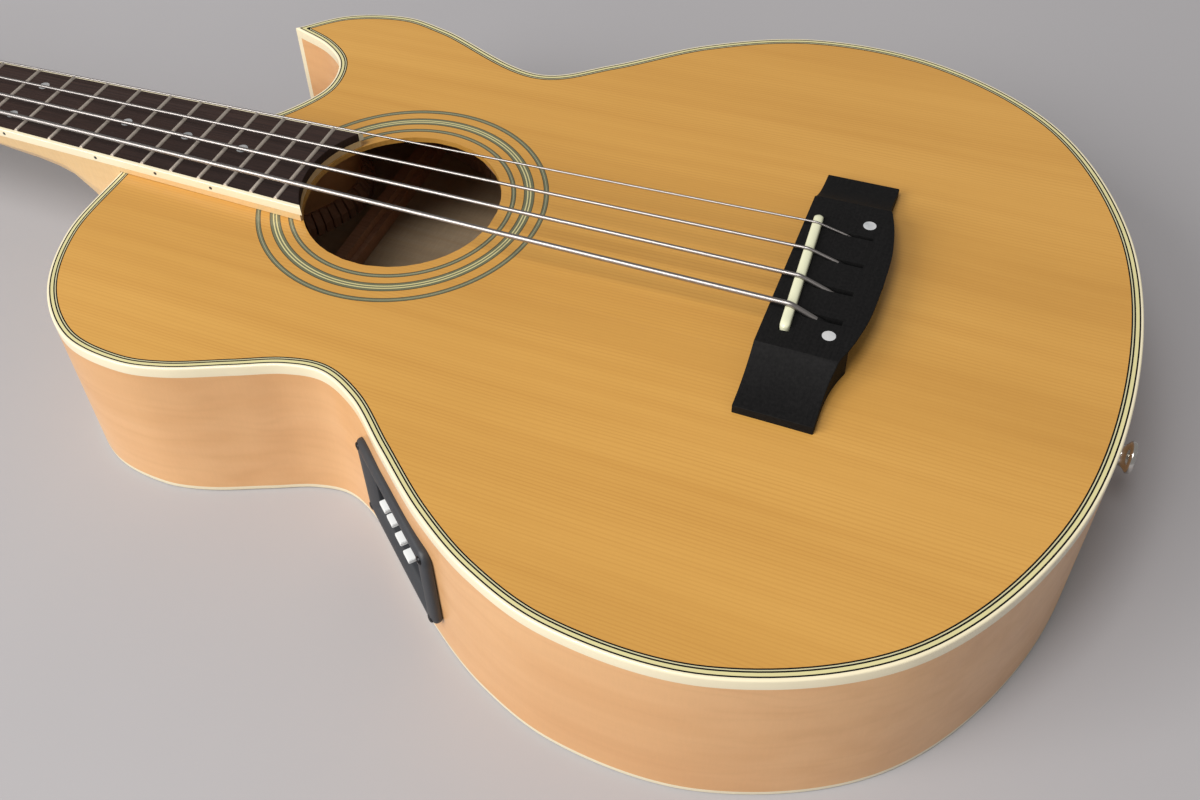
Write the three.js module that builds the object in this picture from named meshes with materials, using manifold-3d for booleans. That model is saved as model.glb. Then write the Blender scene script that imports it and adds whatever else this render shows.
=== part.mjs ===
// An acoustic bass guitar with a pointed cutaway, in millimetres, lying on its back.
// +X runs from the headstock to the tail, +Y to the treble side, which has the cutaway,
// and +Z out of the top. The origin lies on the back, under the middle of the soundhole.

import * as THREE from 'three';
import { mergeVertices } from 'three/addons/utils/BufferGeometryUtils.js';
import Module from 'manifold-3d';

const wasm = await Module();
wasm.setup();

// Driving dimensions
const scaleLength = 864;
const fretCount = 21;
const stringCount = 4;
const bodyLength = 510;
const lowerBoutWidth = 414;
const bodyDepth = 92;
const soundholeRadius = 51.7;
const saddleCompensation = 6.9;

// Places on the body, as shares of its length: the soundhole and the preamp from the neck end,
// and the saddle from the soundhole
const soundholePlaceShare = 0.3098;
const preampPlaceShare = 0.4543;
const saddlePlaceShare = 0.40706;
const neckEndToHole = bodyLength * soundholePlaceShare;
const saddleToHole = bodyLength * saddlePlaceShare;
const nutToHole = scaleLength + saddleCompensation - saddleToHole;

// Clearances, and the overrun that every cut has past the faces it goes through
const glueGap = 0.1;
const seatGap = 0.3;
const runningGap = 0.5;
const overrun = 5;
const weldDistance = 0.0001;

// Thicknesses of the body's woods and trims
const topThickness = 3;
const backThickness = 3;
const sideThickness = 2.5;
const bindingWidth = 1.5;
const topBindingHeight = 6;
const backBindingHeight = 3;
const purflingWidth = 3.1;
const inlayDepth = 1.5;
const hornBindingLength = 4;

// The low arch of the top under the bridge, whose reach is a share of the body's
const archHeight = 3;
const archMiddleToSaddle = 7.6;
const archLengthShare = 0.2745;
const archWidthShare = 0.435;
const archMiddle = saddleToHole - archMiddleToSaddle;
const archHalfLength = bodyLength * archLengthShare;
const archHalfWidth = lowerBoutWidth * archWidthShare;

// Main ring of the rosette round the soundhole
const rosetteRadius = 63.3;
const rosetteWidth = 5.5;

// Linings, blocks, braces and the bridge plate
const liningWidth = 7;
const liningHeight = 14;
const neckBlockLength = 58;
const neckBlockBassReach = 38;
const neckBlockTrebleReach = 34;
const tailBlockLength = 20;
const tailBlockHalfWidth = 36;
const braceWidth = 8;
const braceHeight = 15;
const braceEdgeHeight = 10;
const crossHoleGap = 4.63;
const crossAngle = THREE.MathUtils.degToRad(38);
const crossEndGap = 4.8;
const transverseBraceWidth = 12;
const transverseBraceHeight = 18;
const toneBarWidth = 7;
const toneBarHeight = 11;
const toneBarHalfLength = 84;
const bridgePlateThickness = 3;
const bridgePlateOverhang = 8.8;
const bridgePlateLength = 62;
const bridgePlateCrossGap = 2.36;
const bridgePlateBackHalfWidth = 84;
const backBraceWidth = 14;
const backBraceHeight = 14;
const backStripWidth = 20;
const backStripThickness = 2.5;

// Neck, board and frets
const boardThickness = 5;
const boardRise = 9.55;
const neckAngle = THREE.MathUtils.degToRad(0.46);
const boardHalfWidthAtNut = 17.4;
const boardHalfWidthAtLastFret = 31;
const boardBindingWidth = 2;
const boardEndHalfWidth = 31.3;
const fretWidth = 2.6;
const fretHeight = 1.2;
const fretSeatDepth = 0.3;
const nutThickness = 5;
const nutTopAboveBoard = 3.4;
const shaftDepthAtNut = 16;
const shaftDepthAtHeel = 18.5;
const heelLength = 128;
const heelDepth = 108;
const heelTaper = 0.5;
const heelCapHeight = 6;
const heelCapThickness = 3;
const tenonWidth = 20;
const tenonLength = 20;
const tenonHeight = 58;
const tenonTopWood = 1.5;
const rodWidth = 6;
const rodHeight = 9;
const rodTopBelowBoard = 1.2;
const rodNutRadius = 3.6;
const rodNutDrop = 1;
const rodNutLength = 12;
const rodEndToBody = 18;

// Headstock, veneer and the cover of the truss rod
const headAngle = THREE.MathUtils.degToRad(13);
const headFaceBelowBoard = 3;
const headLength = 196;
const headHalfWidth = 42;
const headThickness = 14;
const veneerThickness = 2;
const pocketLength = 32;
const pocketHalfWidth = 7;
const pocketDepth = 15;
const coverLength = 50;
const coverHalfWidth = 13;
const coverThickness = 2;

// Tuners
const nearTunerShare = 0.2653;
const farTunerShare = 0.6531;
const nearTunerToNut = headLength * nearTunerShare;
const farTunerToNut = headLength * farTunerShare;
const nearTunerOffset = 25;
const farTunerOffset = 24;
const postRadius = 5;
const postRise = 17;
const postChamfer = 1;
const bushingRadius = 7;
const bushingFlangeRadius = 9.5;
const bushingFlangeHeight = 1.5;
const gearRadius = 10.5;
const gearToothDepth = 1.5;
const gearThickness = 5;
const gearTeeth = 20;
const gearScrewRadius = 3;
const gearScrewHeight = 2;
const tunerPlateThickness = 1.5;
const tunerPlateHalfLength = 20;
const tunerPlateHalfWidth = 13;
const wormRadius = 4;
const wormHalfLength = 6;
const keyShaftRadius = 2.5;
const lugThickness = 2.5;
const lugHalfLength = 4.5;
const keyReach = 22;
const keyLobeRadius = 9;
const keyThickness = 4.5;
const windingHeight = 7;
const windingBottom = 5;

// Bridge and saddle
const bridgeFrontToSaddle = 7.9;
const bridgeFrontToHole = saddleToHole - bridgeFrontToSaddle;
const bridgeEndLength = 34.7;
const bridgeMiddleLength = 43.5;
const bridgeHalfWidth = 81;
const bridgeBlockHalfWidth = 51;
const bridgeTopAboveRim = 16.5;
const bridgeEndAboveRim = 6.3;
const bridgeCornerCut = 0.8;
const saddleWidth = 4.4;
const saddleHalfLength = 38.6;
const saddleBassShift = 2.4;
const saddleTopAboveBridge = 3;
const saddleSeatDepth = 6;
const saddleSlant = 4.3;
const pickupThickness = 1.2;
const pickupWidth = 2.8;
const saddleToStringSlot = 15.6;
const stringSlotFront = saddleToHole + saddleToStringSlot;
const stringSlotLength = 9;
const stringSlotDepth = 3;
const ballRadius = 3.2;
const ballLength = 5;
const ballTopBelowBridge = 6;
const ballRecess = 6;
// Under its top edge the back of the bridge slopes inward, between the middle's two corners
const undercutHalfWidth = 43.6;
const undercutLip = 0.6;
const undercutDepth = 17.9;
// Each string dips into its slot by a share of its radius; the slot starts some radii ahead of that
const slotDipShare = 0.9;
const slotLeadShare = 3;

// Strings, from the thickest on the bass side to the thinnest
const stringRadii = [1.33, 1.08, 0.83, 0.57];
const stringSpacingAtSaddle = 19;
const stringSpacingAtNut = 10.2;
const stringSink = 0.3;
const stringSides = 6;

// Preamp on the bass side, in the waist
const preampMiddleHeight = 45.5;
const preampLength = 78;
const preampWidth = 53;
const preampCornerRadius = 6;
const preampProud = 3.4;
const preampBevel = 1;
const preampBoxLength = 60;
const preampBoxWidth = 39;
const windowLength = 54;
const windowWidth = 33;
const panelSetback = 6;
const panelThickness = 2;
const housingDepth = 25;
const housingWall = 2;
const sliderCount = 4;
const sliderPitch = 8.5;
const sliderRowOffset = 5.75;
const sliderTravel = 8;
const sliderSettingShares = [0.95, 0.95, 0.55, 0.25];
const sliderSlotWidth = 2.4;
const sliderStemWidth = 1.4;
const sliderStemLength = 4;
const sliderStemBehind = 4;
const sliderKnobLength = 6.6;
const sliderKnobWidth = 7;
const sliderKnobHeight = 10.1;
const screwRadius = 2.2;
const screwHeadHeight = 1.2;
const screwSeat = 0.3;
const preampScrewInset = 4.2;

// Battery behind the preamp's panel, and the endpin jack in the tail
const batteryLength = 48;
const batteryWidth = 26;
const batteryHeight = 16.5;
const jackHeight = 41;
const jackBarrelRadius = 6;
const jackBarrelLength = 34;
const jackNeckRadius = 4.9;
const jackFlangeRadius = 7.6;
const jackFlangeThickness = 3.2;
const jackProud = 10.5;
const jackChamfer = 1;
const jackWasherThickness = 1.5;
const jackBoreRadius = 3.4;
const jackBoreLength = 32;
const jackNutRadius = 9;
const jackNutThickness = 3;

// How finely curves are divided
const rimSteps = 64;
const cutawaySteps = 12;
const holeSides = 30;
const archSides = 20;
const archRings = 4;
const roundSides = 12;
const smallSides = 8;
const shaftSides = 10;

// Outline of the body: shares of its length from the neck end, and of half its greatest width.
// The rim runs from the neck along the bass side, round the tail and up to the tip of the horn.
const rimShares = [
  [0, -0.145], [0.005, -0.393], [0.04, -0.5844], [0.098, -0.7017], [0.165, -0.7271], [0.21, -0.7064],
  [0.27, -0.6451], [0.315, -0.5981], [0.35, -0.5875], [0.39, -0.6301], [0.44, -0.7318], [0.5, -0.8491],
  [0.56, -0.9346], [0.635, -0.9915], [0.757, -0.9774],
  [0.888, -0.8023], [0.973, -0.451], [1, 0], [0.973, 0.451], [0.888, 0.799], [0.757, 0.977],
  [0.625, 0.989], [0.517, 0.877], [0.429, 0.708], [0.36, 0.605], [0.219, 0.725], [0.16, 0.754],
  [0.089, 0.708], [0.039, 0.601],
];
const cutawayShares = [
  [0.039, 0.601], [0.095, 0.547], [0.127, 0.478], [0.138, 0.377], [0.129, 0.296],
  [0.096, 0.183], [0.067, 0.165], [0, 0.164],
];

// Headstock outline: shares of its length from the nut, and of its half width
const headShares = [
  [-0.03, 0.46], [0.03, 0.5], [0.12, 0.86], [0.2, 0.95], [0.55, 0.93], [0.86, 1], [0.97, 0.82], [1, 0.3],
];

// Heel: shares of its length from where it starts, and of its growth in depth
const heelShares = [
  [0, 0], [0.2, 0.016], [0.36, 0.056], [0.48, 0.078], [0.58, 0.12], [0.66, 0.188], [0.73, 0.361],
  [0.8, 0.58], [0.88, 0.77], [1, 1],
];

// Back edge of the bridge: shares of its half width, and of the belly's bulge
const bellyShares = [[1, 0], [0.75, 0.02], [0.62, 0.23], [0.54, 0.45], [0.44, 0.67], [0.26, 0.92], [0, 1]];

// Wings of the bridge: shares of the way from the block's edge to the end, and of the drop
const wingShares = [[0, 0], [0.1, 0.25], [0.25, 0.5], [0.45, 0.75], [0.7, 0.93], [1, 1]];

// Arch of the top: share of its height at a share of its radius
const archShare = (radiusShare) => (1 - radiusShare ** 2) ** 2;

const finish = (color, roughness, metalness = 0) =>
  new THREE.MeshStandardMaterial({ color, roughness, metalness });

const vector = (x, y, z) => new THREE.Vector3(x, y, z);

// Turns a closed three.js geometry into a solid that can be joined and cut.
function toSolid(geometry, matrix) {
  const bare = geometry.clone();
  bare.deleteAttribute('normal');
  bare.deleteAttribute('uv');
  if (matrix) {
    bare.applyMatrix4(matrix);
  }
  const merged = mergeVertices(bare, weldDistance);
  const mesh = new wasm.Mesh({
    numProp: 3,
    vertProperties: new Float32Array(merged.attributes.position.array),
    triVerts: new Uint32Array(merged.index.array),
  });
  return new wasm.Manifold(mesh);
}

function toGeometry(solid) {
  const mesh = solid.getMesh();
  const geometry = new THREE.BufferGeometry();
  const positions = new Float32Array(mesh.vertProperties);
  geometry.setAttribute('position', new THREE.BufferAttribute(positions, 3));
  geometry.setIndex(new THREE.BufferAttribute(new Uint32Array(mesh.triVerts), 1));
  geometry.computeVertexNormals();
  return geometry;
}

function join(...solids) {
  return solids.reduce((whole, solid) => whole.add(solid));
}

// Makes the named mesh of one sub-part and hangs it on its group.
function addPiece(group, name, solid, material) {
  const mesh = new THREE.Mesh(toGeometry(solid), material);
  mesh.name = name;
  group.add(mesh);
  return mesh;
}

function prism(outline, low, high, matrix) {
  const shape = new THREE.Shape(outline);
  const geometry = new THREE.ExtrudeGeometry(shape, { depth: high - low, bevelEnabled: false });
  geometry.translate(0, 0, low);
  return toSolid(geometry, matrix);
}

function ring(outer, inner, low, high) {
  const shape = new THREE.Shape(outer);
  shape.holes.push(new THREE.Path(inner));
  const geometry = new THREE.ExtrudeGeometry(shape, { depth: high - low, bevelEnabled: false });
  geometry.translate(0, 0, low);
  return toSolid(geometry);
}

function block(from, to, matrix) {
  const size = to.clone().sub(from);
  const middle = from.clone().add(to).multiplyScalar(0.5);
  const geometry = new THREE.BoxGeometry(size.x, size.y, size.z);
  geometry.translate(middle.x, middle.y, middle.z);
  return toSolid(geometry, matrix);
}

function circle(radius, sides, middle = new THREE.Vector2()) {
  const step = (2 * Math.PI) / sides;
  const corner = (_, i) => new THREE.Vector2(radius * Math.cos(i * step), radius * Math.sin(i * step)).add(middle);
  return Array.from({ length: sides }, corner);
}

// A round bar from one point to another.
function bar(from, to, radius, sides) {
  const run = to.clone().sub(from);
  const geometry = new THREE.CylinderGeometry(radius, radius, run.length(), sides);
  const turn = new THREE.Quaternion().setFromUnitVectors(vector(0, 1, 0), run.clone().normalize());
  geometry.applyQuaternion(turn);
  const middle = from.clone().add(to).multiplyScalar(0.5);
  geometry.translate(middle.x, middle.y, middle.z);
  return toSolid(geometry);
}

// A turned piece: pairs of radius and height, round the Z axis.
function turned(profile, sides, matrix) {
  const points = profile.map(([radius, height]) => new THREE.Vector2(radius, height));
  const geometry = new THREE.LatheGeometry(points, sides);
  geometry.rotateX(Math.PI / 2);
  return toSolid(geometry, matrix);
}

function distanceToOutline(outline, point) {
  const line = new THREE.Line3();
  const nearest = new THREE.Vector3();
  const target = vector(point.x, point.y, 0);
  let least = Infinity;
  outline.forEach((corner, i) => {
    const next = outline[(i + 1) % outline.length];
    line.start.set(corner.x, corner.y, 0);
    line.end.set(next.x, next.y, 0);
    line.closestPointToPoint(target, true, nearest);
    least = Math.min(least, nearest.distanceTo(target));
  });
  return least;
}

// Where a line that leaves one point meets a line that arrives at another, ahead of the first
// and before the second.
function crossing(from, leaving, to, arriving) {
  const turn = leaving.cross(arriving);
  const span = to.clone().sub(from);
  const along = span.cross(arriving) / turn;
  const left = leaving.cross(span) / turn;
  return along > 0 && left < 0 ? from.clone().addScaledVector(leaving, along) : null;
}

// Moves a closed outline inwards, or outwards for a negative distance, with sharp corners kept.
// Points that would lie too near the outline give way to the crossing of the lines round them.
function inset(outline, distance) {
  const count = outline.length;
  const edges = outline.map((point, i) => outline[(i + 1) % count].clone().sub(point).normalize());
  const moved = outline.map((point, i) => {
    const arriving = edges[(i + count - 1) % count];
    const leaving = edges[i];
    const inward = new THREE.Vector2(-arriving.y - leaving.y, arriving.x + leaving.x).normalize();
    const reach = inward.dot(new THREE.Vector2(-arriving.y, arriving.x));
    return point.clone().addScaledVector(inward, distance / reach);
  });
  const least = Math.abs(distance) * 0.999;
  const kept = moved.map((point) => distanceToOutline(outline, point) > least);
  const line = [];
  moved.forEach((point, i) => {
    if (!kept[i]) {
      return;
    }
    line.push(point);
    let next = i + 1;
    while (!kept[next % count]) {
      next += 1;
    }
    const corner = next > i + 1 && crossing(point, edges[i], moved[next % count], edges[(next - 1) % count]);
    if (corner) {
      line.push(corner);
    }
  });
  return line;
}

// Body outline and the lines inside it
const neckEndX = -neckEndToHole;
const halfBoutWidth = lowerBoutWidth / 2;
const placeOnBody = ([along, across]) => vector(neckEndX + along * bodyLength, across * halfBoutWidth, 0);
const drawCurve = (shares, steps) => new THREE.CatmullRomCurve3(shares.map(placeOnBody)).getPoints(steps);
const rimPoints = drawCurve(rimShares, rimSteps);
const cutawayPoints = drawCurve(cutawayShares, cutawaySteps).slice(1);
const outline = [...rimPoints, ...cutawayPoints].map((point) => new THREE.Vector2(point.x, point.y));
const hornTip = new THREE.Vector2(rimPoints.at(-1).x, rimPoints.at(-1).y);
const plateLine = inset(outline, bindingWidth + glueGap);
const trimWidth = bindingWidth + purflingWidth + 2 * glueGap;
const woodLine = inset(outline, trimWidth);
const sideInnerLine = inset(outline, sideThickness);
const liningLine = inset(outline, sideThickness + glueGap);
const braceLine = inset(outline, sideThickness + liningWidth + 3 * glueGap);

// Levels of the body, from the back up
const topFace = bodyDepth;
const topUnder = topFace - topThickness;
const backFace = backThickness;
const tailX = neckEndX + bodyLength;

const wood = {
  spruce: () => finish(0xd9a04a, 0.35),
  maple: () => finish(0xe3b06c, 0.35),
  inner: () => finish(0xb98a56, 0.7),
  rosewood: () => finish(0x3a2622, 0.55),
  ebony: () => finish(0x121110, 0.5),
};
const cream = () => finish(0xf0e3b8, 0.35);
const dark = () => finish(0x3c3a2c, 0.4);
const pearl = () => finish(0xd8dcdc, 0.25);
const nickel = () => finish(0xb9b6ae, 0.25, 0.9);
const blackPlastic = () => finish(0x26282b, 0.55);

const guitar = new THREE.Group();

// The top's arch, as a low mound that reaches down to its base. A positive lift raises it.
function archMound(lift, base) {
  const profile = [[0, base], [1, base]];
  for (let i = archRings; i >= 0; i -= 1) {
    const share = i / archRings;
    profile.push([share, topFace + lift + archHeight * archShare(share)]);
  }
  const matrix = new THREE.Matrix4().makeTranslation(archMiddle, 0, 0);
  matrix.multiply(new THREE.Matrix4().makeScale(archHalfLength, archHalfWidth, 1));
  return turned(profile, archSides, matrix);
}

// Everything above the underside of the top, less a gap, to trim what is glued below it.
function aboveTopUnderside(gap) {
  const slab = prism(inset(outline, -overrun), topUnder - gap, topFace + overrun);
  return slab.subtract(archMound(-topThickness - gap, topUnder - gap - overrun));
}

function ringSection(radius, width, gap, low, high) {
  return ring(circle(radius + width + gap, holeSides), circle(radius - gap, holeSides), low, high);
}

function makeTop() {
  const inlayFloor = topFace - inlayDepth;
  const lower = prism(plateLine, topUnder, inlayFloor - glueGap);
  const upper = prism(woodLine, topUnder, topFace);
  let plate = join(lower, upper, archMound(0, inlayFloor));
  plate = plate.subtract(archMound(-topThickness, topUnder - overrun));
  plate = plate.subtract(prism(circle(soundholeRadius, holeSides), topUnder - overrun, topFace + overrun));
  const channelFloor = inlayFloor - glueGap;
  plate = plate.subtract(ringSection(rosetteRadius, rosetteWidth, glueGap, channelFloor, topFace + overrun));
  addPiece(guitar, 'top_plate', plate, wood.spruce());
  addPiece(guitar, 'rosette', ringSection(rosetteRadius, rosetteWidth, 0, inlayFloor, topFace), dark());
  const purflingInner = inset(outline, trimWidth - glueGap);
  addPiece(guitar, 'purfling', ring(plateLine, purflingInner, inlayFloor, topFace), dark());
}

// Solid of the mouth in the neck end where the neck's tenon goes in.
const neckGroup = new THREE.Group();
neckGroup.position.set(0, 0, bodyDepth + boardRise);
neckGroup.rotation.y = -neckAngle;
guitar.add(neckGroup);
const headGroup = new THREE.Group();
headGroup.position.set(-nutToHole - nutThickness, 0, -headFaceBelowBoard);
headGroup.rotation.y = -headAngle;
neckGroup.add(headGroup);
guitar.updateMatrixWorld(true);
const neckToBody = neckGroup.matrixWorld;
const bodyToNeck = neckToBody.clone().invert();
const headToNeck = headGroup.matrix.clone();
const headToBody = headGroup.matrixWorld;

function tenon(gap, matrix) {
  const top = -boardRise - topThickness - seatGap - tenonTopWood + gap;
  const from = vector(neckEndX - overrun, -tenonWidth / 2 - gap, top - tenonHeight - 2 * gap);
  const to = vector(neckEndX + tenonLength + gap, tenonWidth / 2 + gap, top);
  return block(from, to, matrix);
}

// Sides, cut back where the preamp, the tenon and the strip on the horn go through.
const wallPoint = (() => {
  const place = neckEndX + bodyLength * preampPlaceShare;
  const after = rimPoints.findIndex((point) => point.x > place);
  const from = rimPoints[after - 1];
  const to = rimPoints[after];
  const spot = from.clone().lerp(to, (place - from.x) / (to.x - from.x));
  return { spot, angle: Math.atan2(to.y - from.y, to.x - from.x) };
})();
const preampGroup = new THREE.Group();
preampGroup.position.set(wallPoint.spot.x, wallPoint.spot.y, preampMiddleHeight);
preampGroup.rotation.set(Math.PI / 2, 0, wallPoint.angle, 'ZYX');
guitar.add(preampGroup);
guitar.updateMatrixWorld(true);
const preampToBody = preampGroup.matrixWorld;
const bodyToPreamp = preampToBody.clone().invert();

function sideRing(gap) {
  const low = backBindingHeight + glueGap;
  const shoulder = topFace - topBindingHeight - glueGap;
  const outer = ring(outline, sideInnerLine, low, shoulder);
  const inner = ring(plateLine, sideInnerLine, low, topUnder - gap);
  return outer.add(inner);
}

// A wedge of plan round the horn's tip, as long along both walls as the strip.
function hornCorner(gap) {
  const tipIndex = rimPoints.length - 1;
  const towards = (point) => point.clone().sub(hornTip).normalize();
  const alongRim = towards(outline[tipIndex - 1]);
  const alongCutaway = towards(outline[tipIndex + 1]);
  const reach = hornBindingLength + gap;
  const back = alongRim.clone().add(alongCutaway).normalize();
  const corners = [
    hornTip.clone().addScaledVector(back, -overrun),
    hornTip.clone().addScaledVector(alongCutaway, reach).addScaledVector(alongRim, -overrun),
    hornTip.clone().addScaledVector(alongCutaway, reach).addScaledVector(alongRim, reach),
    hornTip.clone().addScaledVector(alongRim, reach).addScaledVector(alongCutaway, -overrun),
  ];
  return prism(corners, backBindingHeight - overrun, topFace + overrun);
}

function makeSides() {
  const holes = [
    hornCorner(glueGap),
    tenon(seatGap, neckToBody),
    jackBarrel(seatGap),
    preampHole(seatGap),
  ];
  const whole = sideRing(glueGap);
  const shell = holes.reduce((left, hole) => left.subtract(hole), whole);
  const far = bodyLength * 2;
  const low = -overrun;
  const high = topFace + overrun;
  const trebleHalf = block(vector(-far, glueGap / 2, low), vector(far, far, high));
  const bassHalf = block(vector(-far, -far, low), vector(far, -glueGap / 2, high));
  const tip = hornTip;
  const joint = new THREE.Vector2(neckEndX + bodyLength * 0.19, halfBoutWidth * 0.66);
  const cutawayPlan = (start, gap) => [
    new THREE.Vector2(-far, start),
    new THREE.Vector2(joint.x, start),
    new THREE.Vector2(joint.x, joint.y - gap),
    new THREE.Vector2(tip.x, tip.y - gap),
    new THREE.Vector2(-far, tip.y - gap),
  ];
  const cutawayZone = prism(cutawayPlan(-overrun, 0), low, high);
  const cutawayInner = prism(cutawayPlan(glueGap / 2, glueGap), low, high);
  addPiece(guitar, 'side_bass', shell.intersect(bassHalf), wood.maple());
  addPiece(guitar, 'side_treble', shell.intersect(trebleHalf).subtract(cutawayZone), wood.maple());
  addPiece(guitar, 'side_cutaway', shell.intersect(cutawayInner), wood.maple());
  const strip = sideRing(glueGap).intersect(hornCorner(0));
  addPiece(guitar, 'horn_binding', strip, cream());
}

function makeBindings() {
  const inner = inset(outline, bindingWidth);
  const topRing = ring(outline, inner, topFace - topBindingHeight, topFace);
  addPiece(guitar, 'top_binding', topRing, cream());
  addPiece(guitar, 'back_binding', ring(outline, inner, 0, backBindingHeight), cream());
}

const insideLinings = () => prism(braceLine, -overrun, topFace + overrun);

function neckBlockZone(gap) {
  const from = vector(neckEndX - overrun, -neckBlockBassReach - gap, backFace);
  const to = vector(neckEndX + neckBlockLength + gap, neckBlockTrebleReach + gap, topFace);
  return block(from, to);
}

function tailBlockZone() {
  const from = vector(tailX - sideThickness - tailBlockLength, -tailBlockHalfWidth, 0);
  return block(from, vector(tailX + overrun, tailBlockHalfWidth, topFace + overrun));
}

function makeInside() {
  const bottom = backFace + glueGap;
  const top = topUnder - glueGap;
  const body = prism(liningLine, bottom, top);
  const neckBlock = body.intersect(neckBlockZone(0)).subtract(tenon(seatGap, neckToBody));
  addPiece(guitar, 'neck_block', neckBlock, wood.inner());
  const lining = (gap, low, high) =>
    ring(liningLine, inset(outline, sideThickness + glueGap + liningWidth + gap), low - gap, high + gap);
  const topLining = (gap) => lining(gap, top - liningHeight, top);
  const backLining = (gap) => lining(gap, bottom, bottom + liningHeight);
  const tailBlock = body.intersect(tailBlockZone()).subtract(jackBarrel(seatGap));
  const rebated = tailBlock.subtract(topLining(seatGap)).subtract(backLining(seatGap));
  addPiece(guitar, 'tail_block', rebated, wood.inner());
  addPiece(guitar, 'top_lining', topLining(0).subtract(neckBlockZone(seatGap)), wood.inner());
  addPiece(guitar, 'back_lining', backLining(0).subtract(neckBlockZone(seatGap)), wood.inner());
}

// A shaved brace: straight sides and a ridge, below a level, along a line in plan.
function brace(from, to, width, height, gap) {
  const edge = height * braceEdgeHeight / braceHeight;
  const half = width / 2 + gap;
  const run = to.clone().sub(from);
  const profile = [
    new THREE.Vector2(-half, archHeight + overrun),
    new THREE.Vector2(-half, -edge),
    new THREE.Vector2(0, -height - gap),
    new THREE.Vector2(half, -edge),
    new THREE.Vector2(half, archHeight + overrun),
  ];
  const shape = new THREE.Shape(profile);
  const geometry = new THREE.ExtrudeGeometry(shape, { depth: run.length(), bevelEnabled: false });
  const place = new THREE.Matrix4().makeBasis(
    vector(-run.y, run.x, 0).normalize(),
    vector(0, 0, 1),
    vector(run.x, run.y, 0).normalize(),
  );
  place.setPosition(from.x, from.y, topUnder);
  return toSolid(geometry, place);
}

function makeTopBraces() {
  const trimTop = aboveTopUnderside(glueGap);
  const inside = insideLinings();
  const fit = (solid) => solid.subtract(trimTop).intersect(inside);
  const crossingToHole = (soundholeRadius + braceWidth / 2 + crossHoleGap) / Math.sin(crossAngle);
  const middle = new THREE.Vector2(crossingToHole, 0);
  const transverseX = (neckEndX + neckBlockLength - soundholeRadius) / 2;
  const frontRun = crossingToHole - transverseX - transverseBraceWidth / 2 - crossEndGap;
  const frontLength = (frontRun - (braceWidth / 2) * Math.sin(crossAngle)) / Math.cos(crossAngle);
  const leg = (side, gap) => {
    const along = new THREE.Vector2(Math.cos(crossAngle), side * Math.sin(crossAngle));
    const from = middle.clone().addScaledVector(along, -frontLength);
    const to = middle.clone().addScaledVector(along, bodyLength);
    return brace(from, to, braceWidth, braceHeight, gap);
  };
  const lapLevel = topUnder - braceHeight / 2;
  const far = bodyLength;
  const upperHalf = block(vector(-far, -far, lapLevel), vector(far, far, topFace + far));
  const lowerHalf = block(vector(-far, -far, lapLevel - far), vector(far, far, lapLevel + glueGap));
  const bassLeg = leg(1, 0).subtract(leg(-1, glueGap).intersect(upperHalf));
  const trebleLeg = leg(-1, 0).subtract(leg(1, glueGap).intersect(lowerHalf));
  addPiece(guitar, 'x_brace_bass', fit(bassLeg), wood.inner());
  addPiece(guitar, 'x_brace_treble', fit(trebleLeg), wood.inner());
  const start = new THREE.Vector2(transverseX, -lowerBoutWidth);
  const end = new THREE.Vector2(transverseX, lowerBoutWidth);
  const transverse = brace(start, end, transverseBraceWidth, transverseBraceHeight, 0);
  addPiece(guitar, 'transverse_brace', fit(transverse), wood.inner());
  const bridgePlateFront = bridgeFrontToHole - bridgePlateOverhang;
  const barX = bridgePlateFront + bridgePlateLength + toneBarWidth;
  const barStart = new THREE.Vector2(barX, -toneBarHalfLength);
  const barEnd = new THREE.Vector2(barX + toneBarHeight, toneBarHalfLength);
  addPiece(guitar, 'tone_bar', fit(brace(barStart, barEnd, toneBarWidth, toneBarHeight, 0)), wood.inner());
  const plateX = [bridgePlateFront, bridgePlateFront + bridgePlateLength];
  const legReach = (bridgePlateFront - crossingToHole) * Math.tan(crossAngle);
  const frontHalfWidth = legReach - braceWidth / 2 / Math.cos(crossAngle) - bridgePlateCrossGap;
  const plan = [
    new THREE.Vector2(plateX[0], -frontHalfWidth),
    new THREE.Vector2(plateX[1], -bridgePlateBackHalfWidth),
    new THREE.Vector2(plateX[1], bridgePlateBackHalfWidth),
    new THREE.Vector2(plateX[0], frontHalfWidth),
  ];
  const plate = prism(plan, topUnder - overrun, topFace + archHeight);
  const plateUnder = archMound(-topThickness - glueGap - bridgePlateThickness, topUnder - 3 * overrun);
  addPiece(guitar, 'bridge_plate', plate.subtract(plateUnder).subtract(trimTop), wood.inner());
}

const backBraceShares = [0.19, 0.41, 0.63, 0.84];

function makeBack() {
  addPiece(guitar, 'back_plate', prism(plateLine, 0, backFace), wood.maple());
  const base = backFace + glueGap;
  const inside = insideLinings();
  const places = backBraceShares.map((share) => neckEndX + share * bodyLength);
  const far = lowerBoutWidth;
  const rail = (x) => {
    const half = backBraceWidth / 2;
    const low = block(vector(x - half, -far, base), vector(x + half, far, base + backBraceHeight * 0.6));
    const crown = block(vector(x - half / 2, -far, base), vector(x + half / 2, far, base + backBraceHeight));
    return low.add(crown);
  };
  const rails = places.map(rail);
  const stripStart = neckEndX + sideThickness + neckBlockLength + seatGap;
  const stripEnd = tailX - sideThickness - tailBlockLength - 2 * seatGap;
  const stripFrom = vector(stripStart, -backStripWidth / 2, base);
  const strip = block(stripFrom, vector(stripEnd, backStripWidth / 2, base + backStripThickness));
  addPiece(guitar, 'back_bracing', join(...rails, strip).intersect(inside), wood.inner());
}

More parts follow.
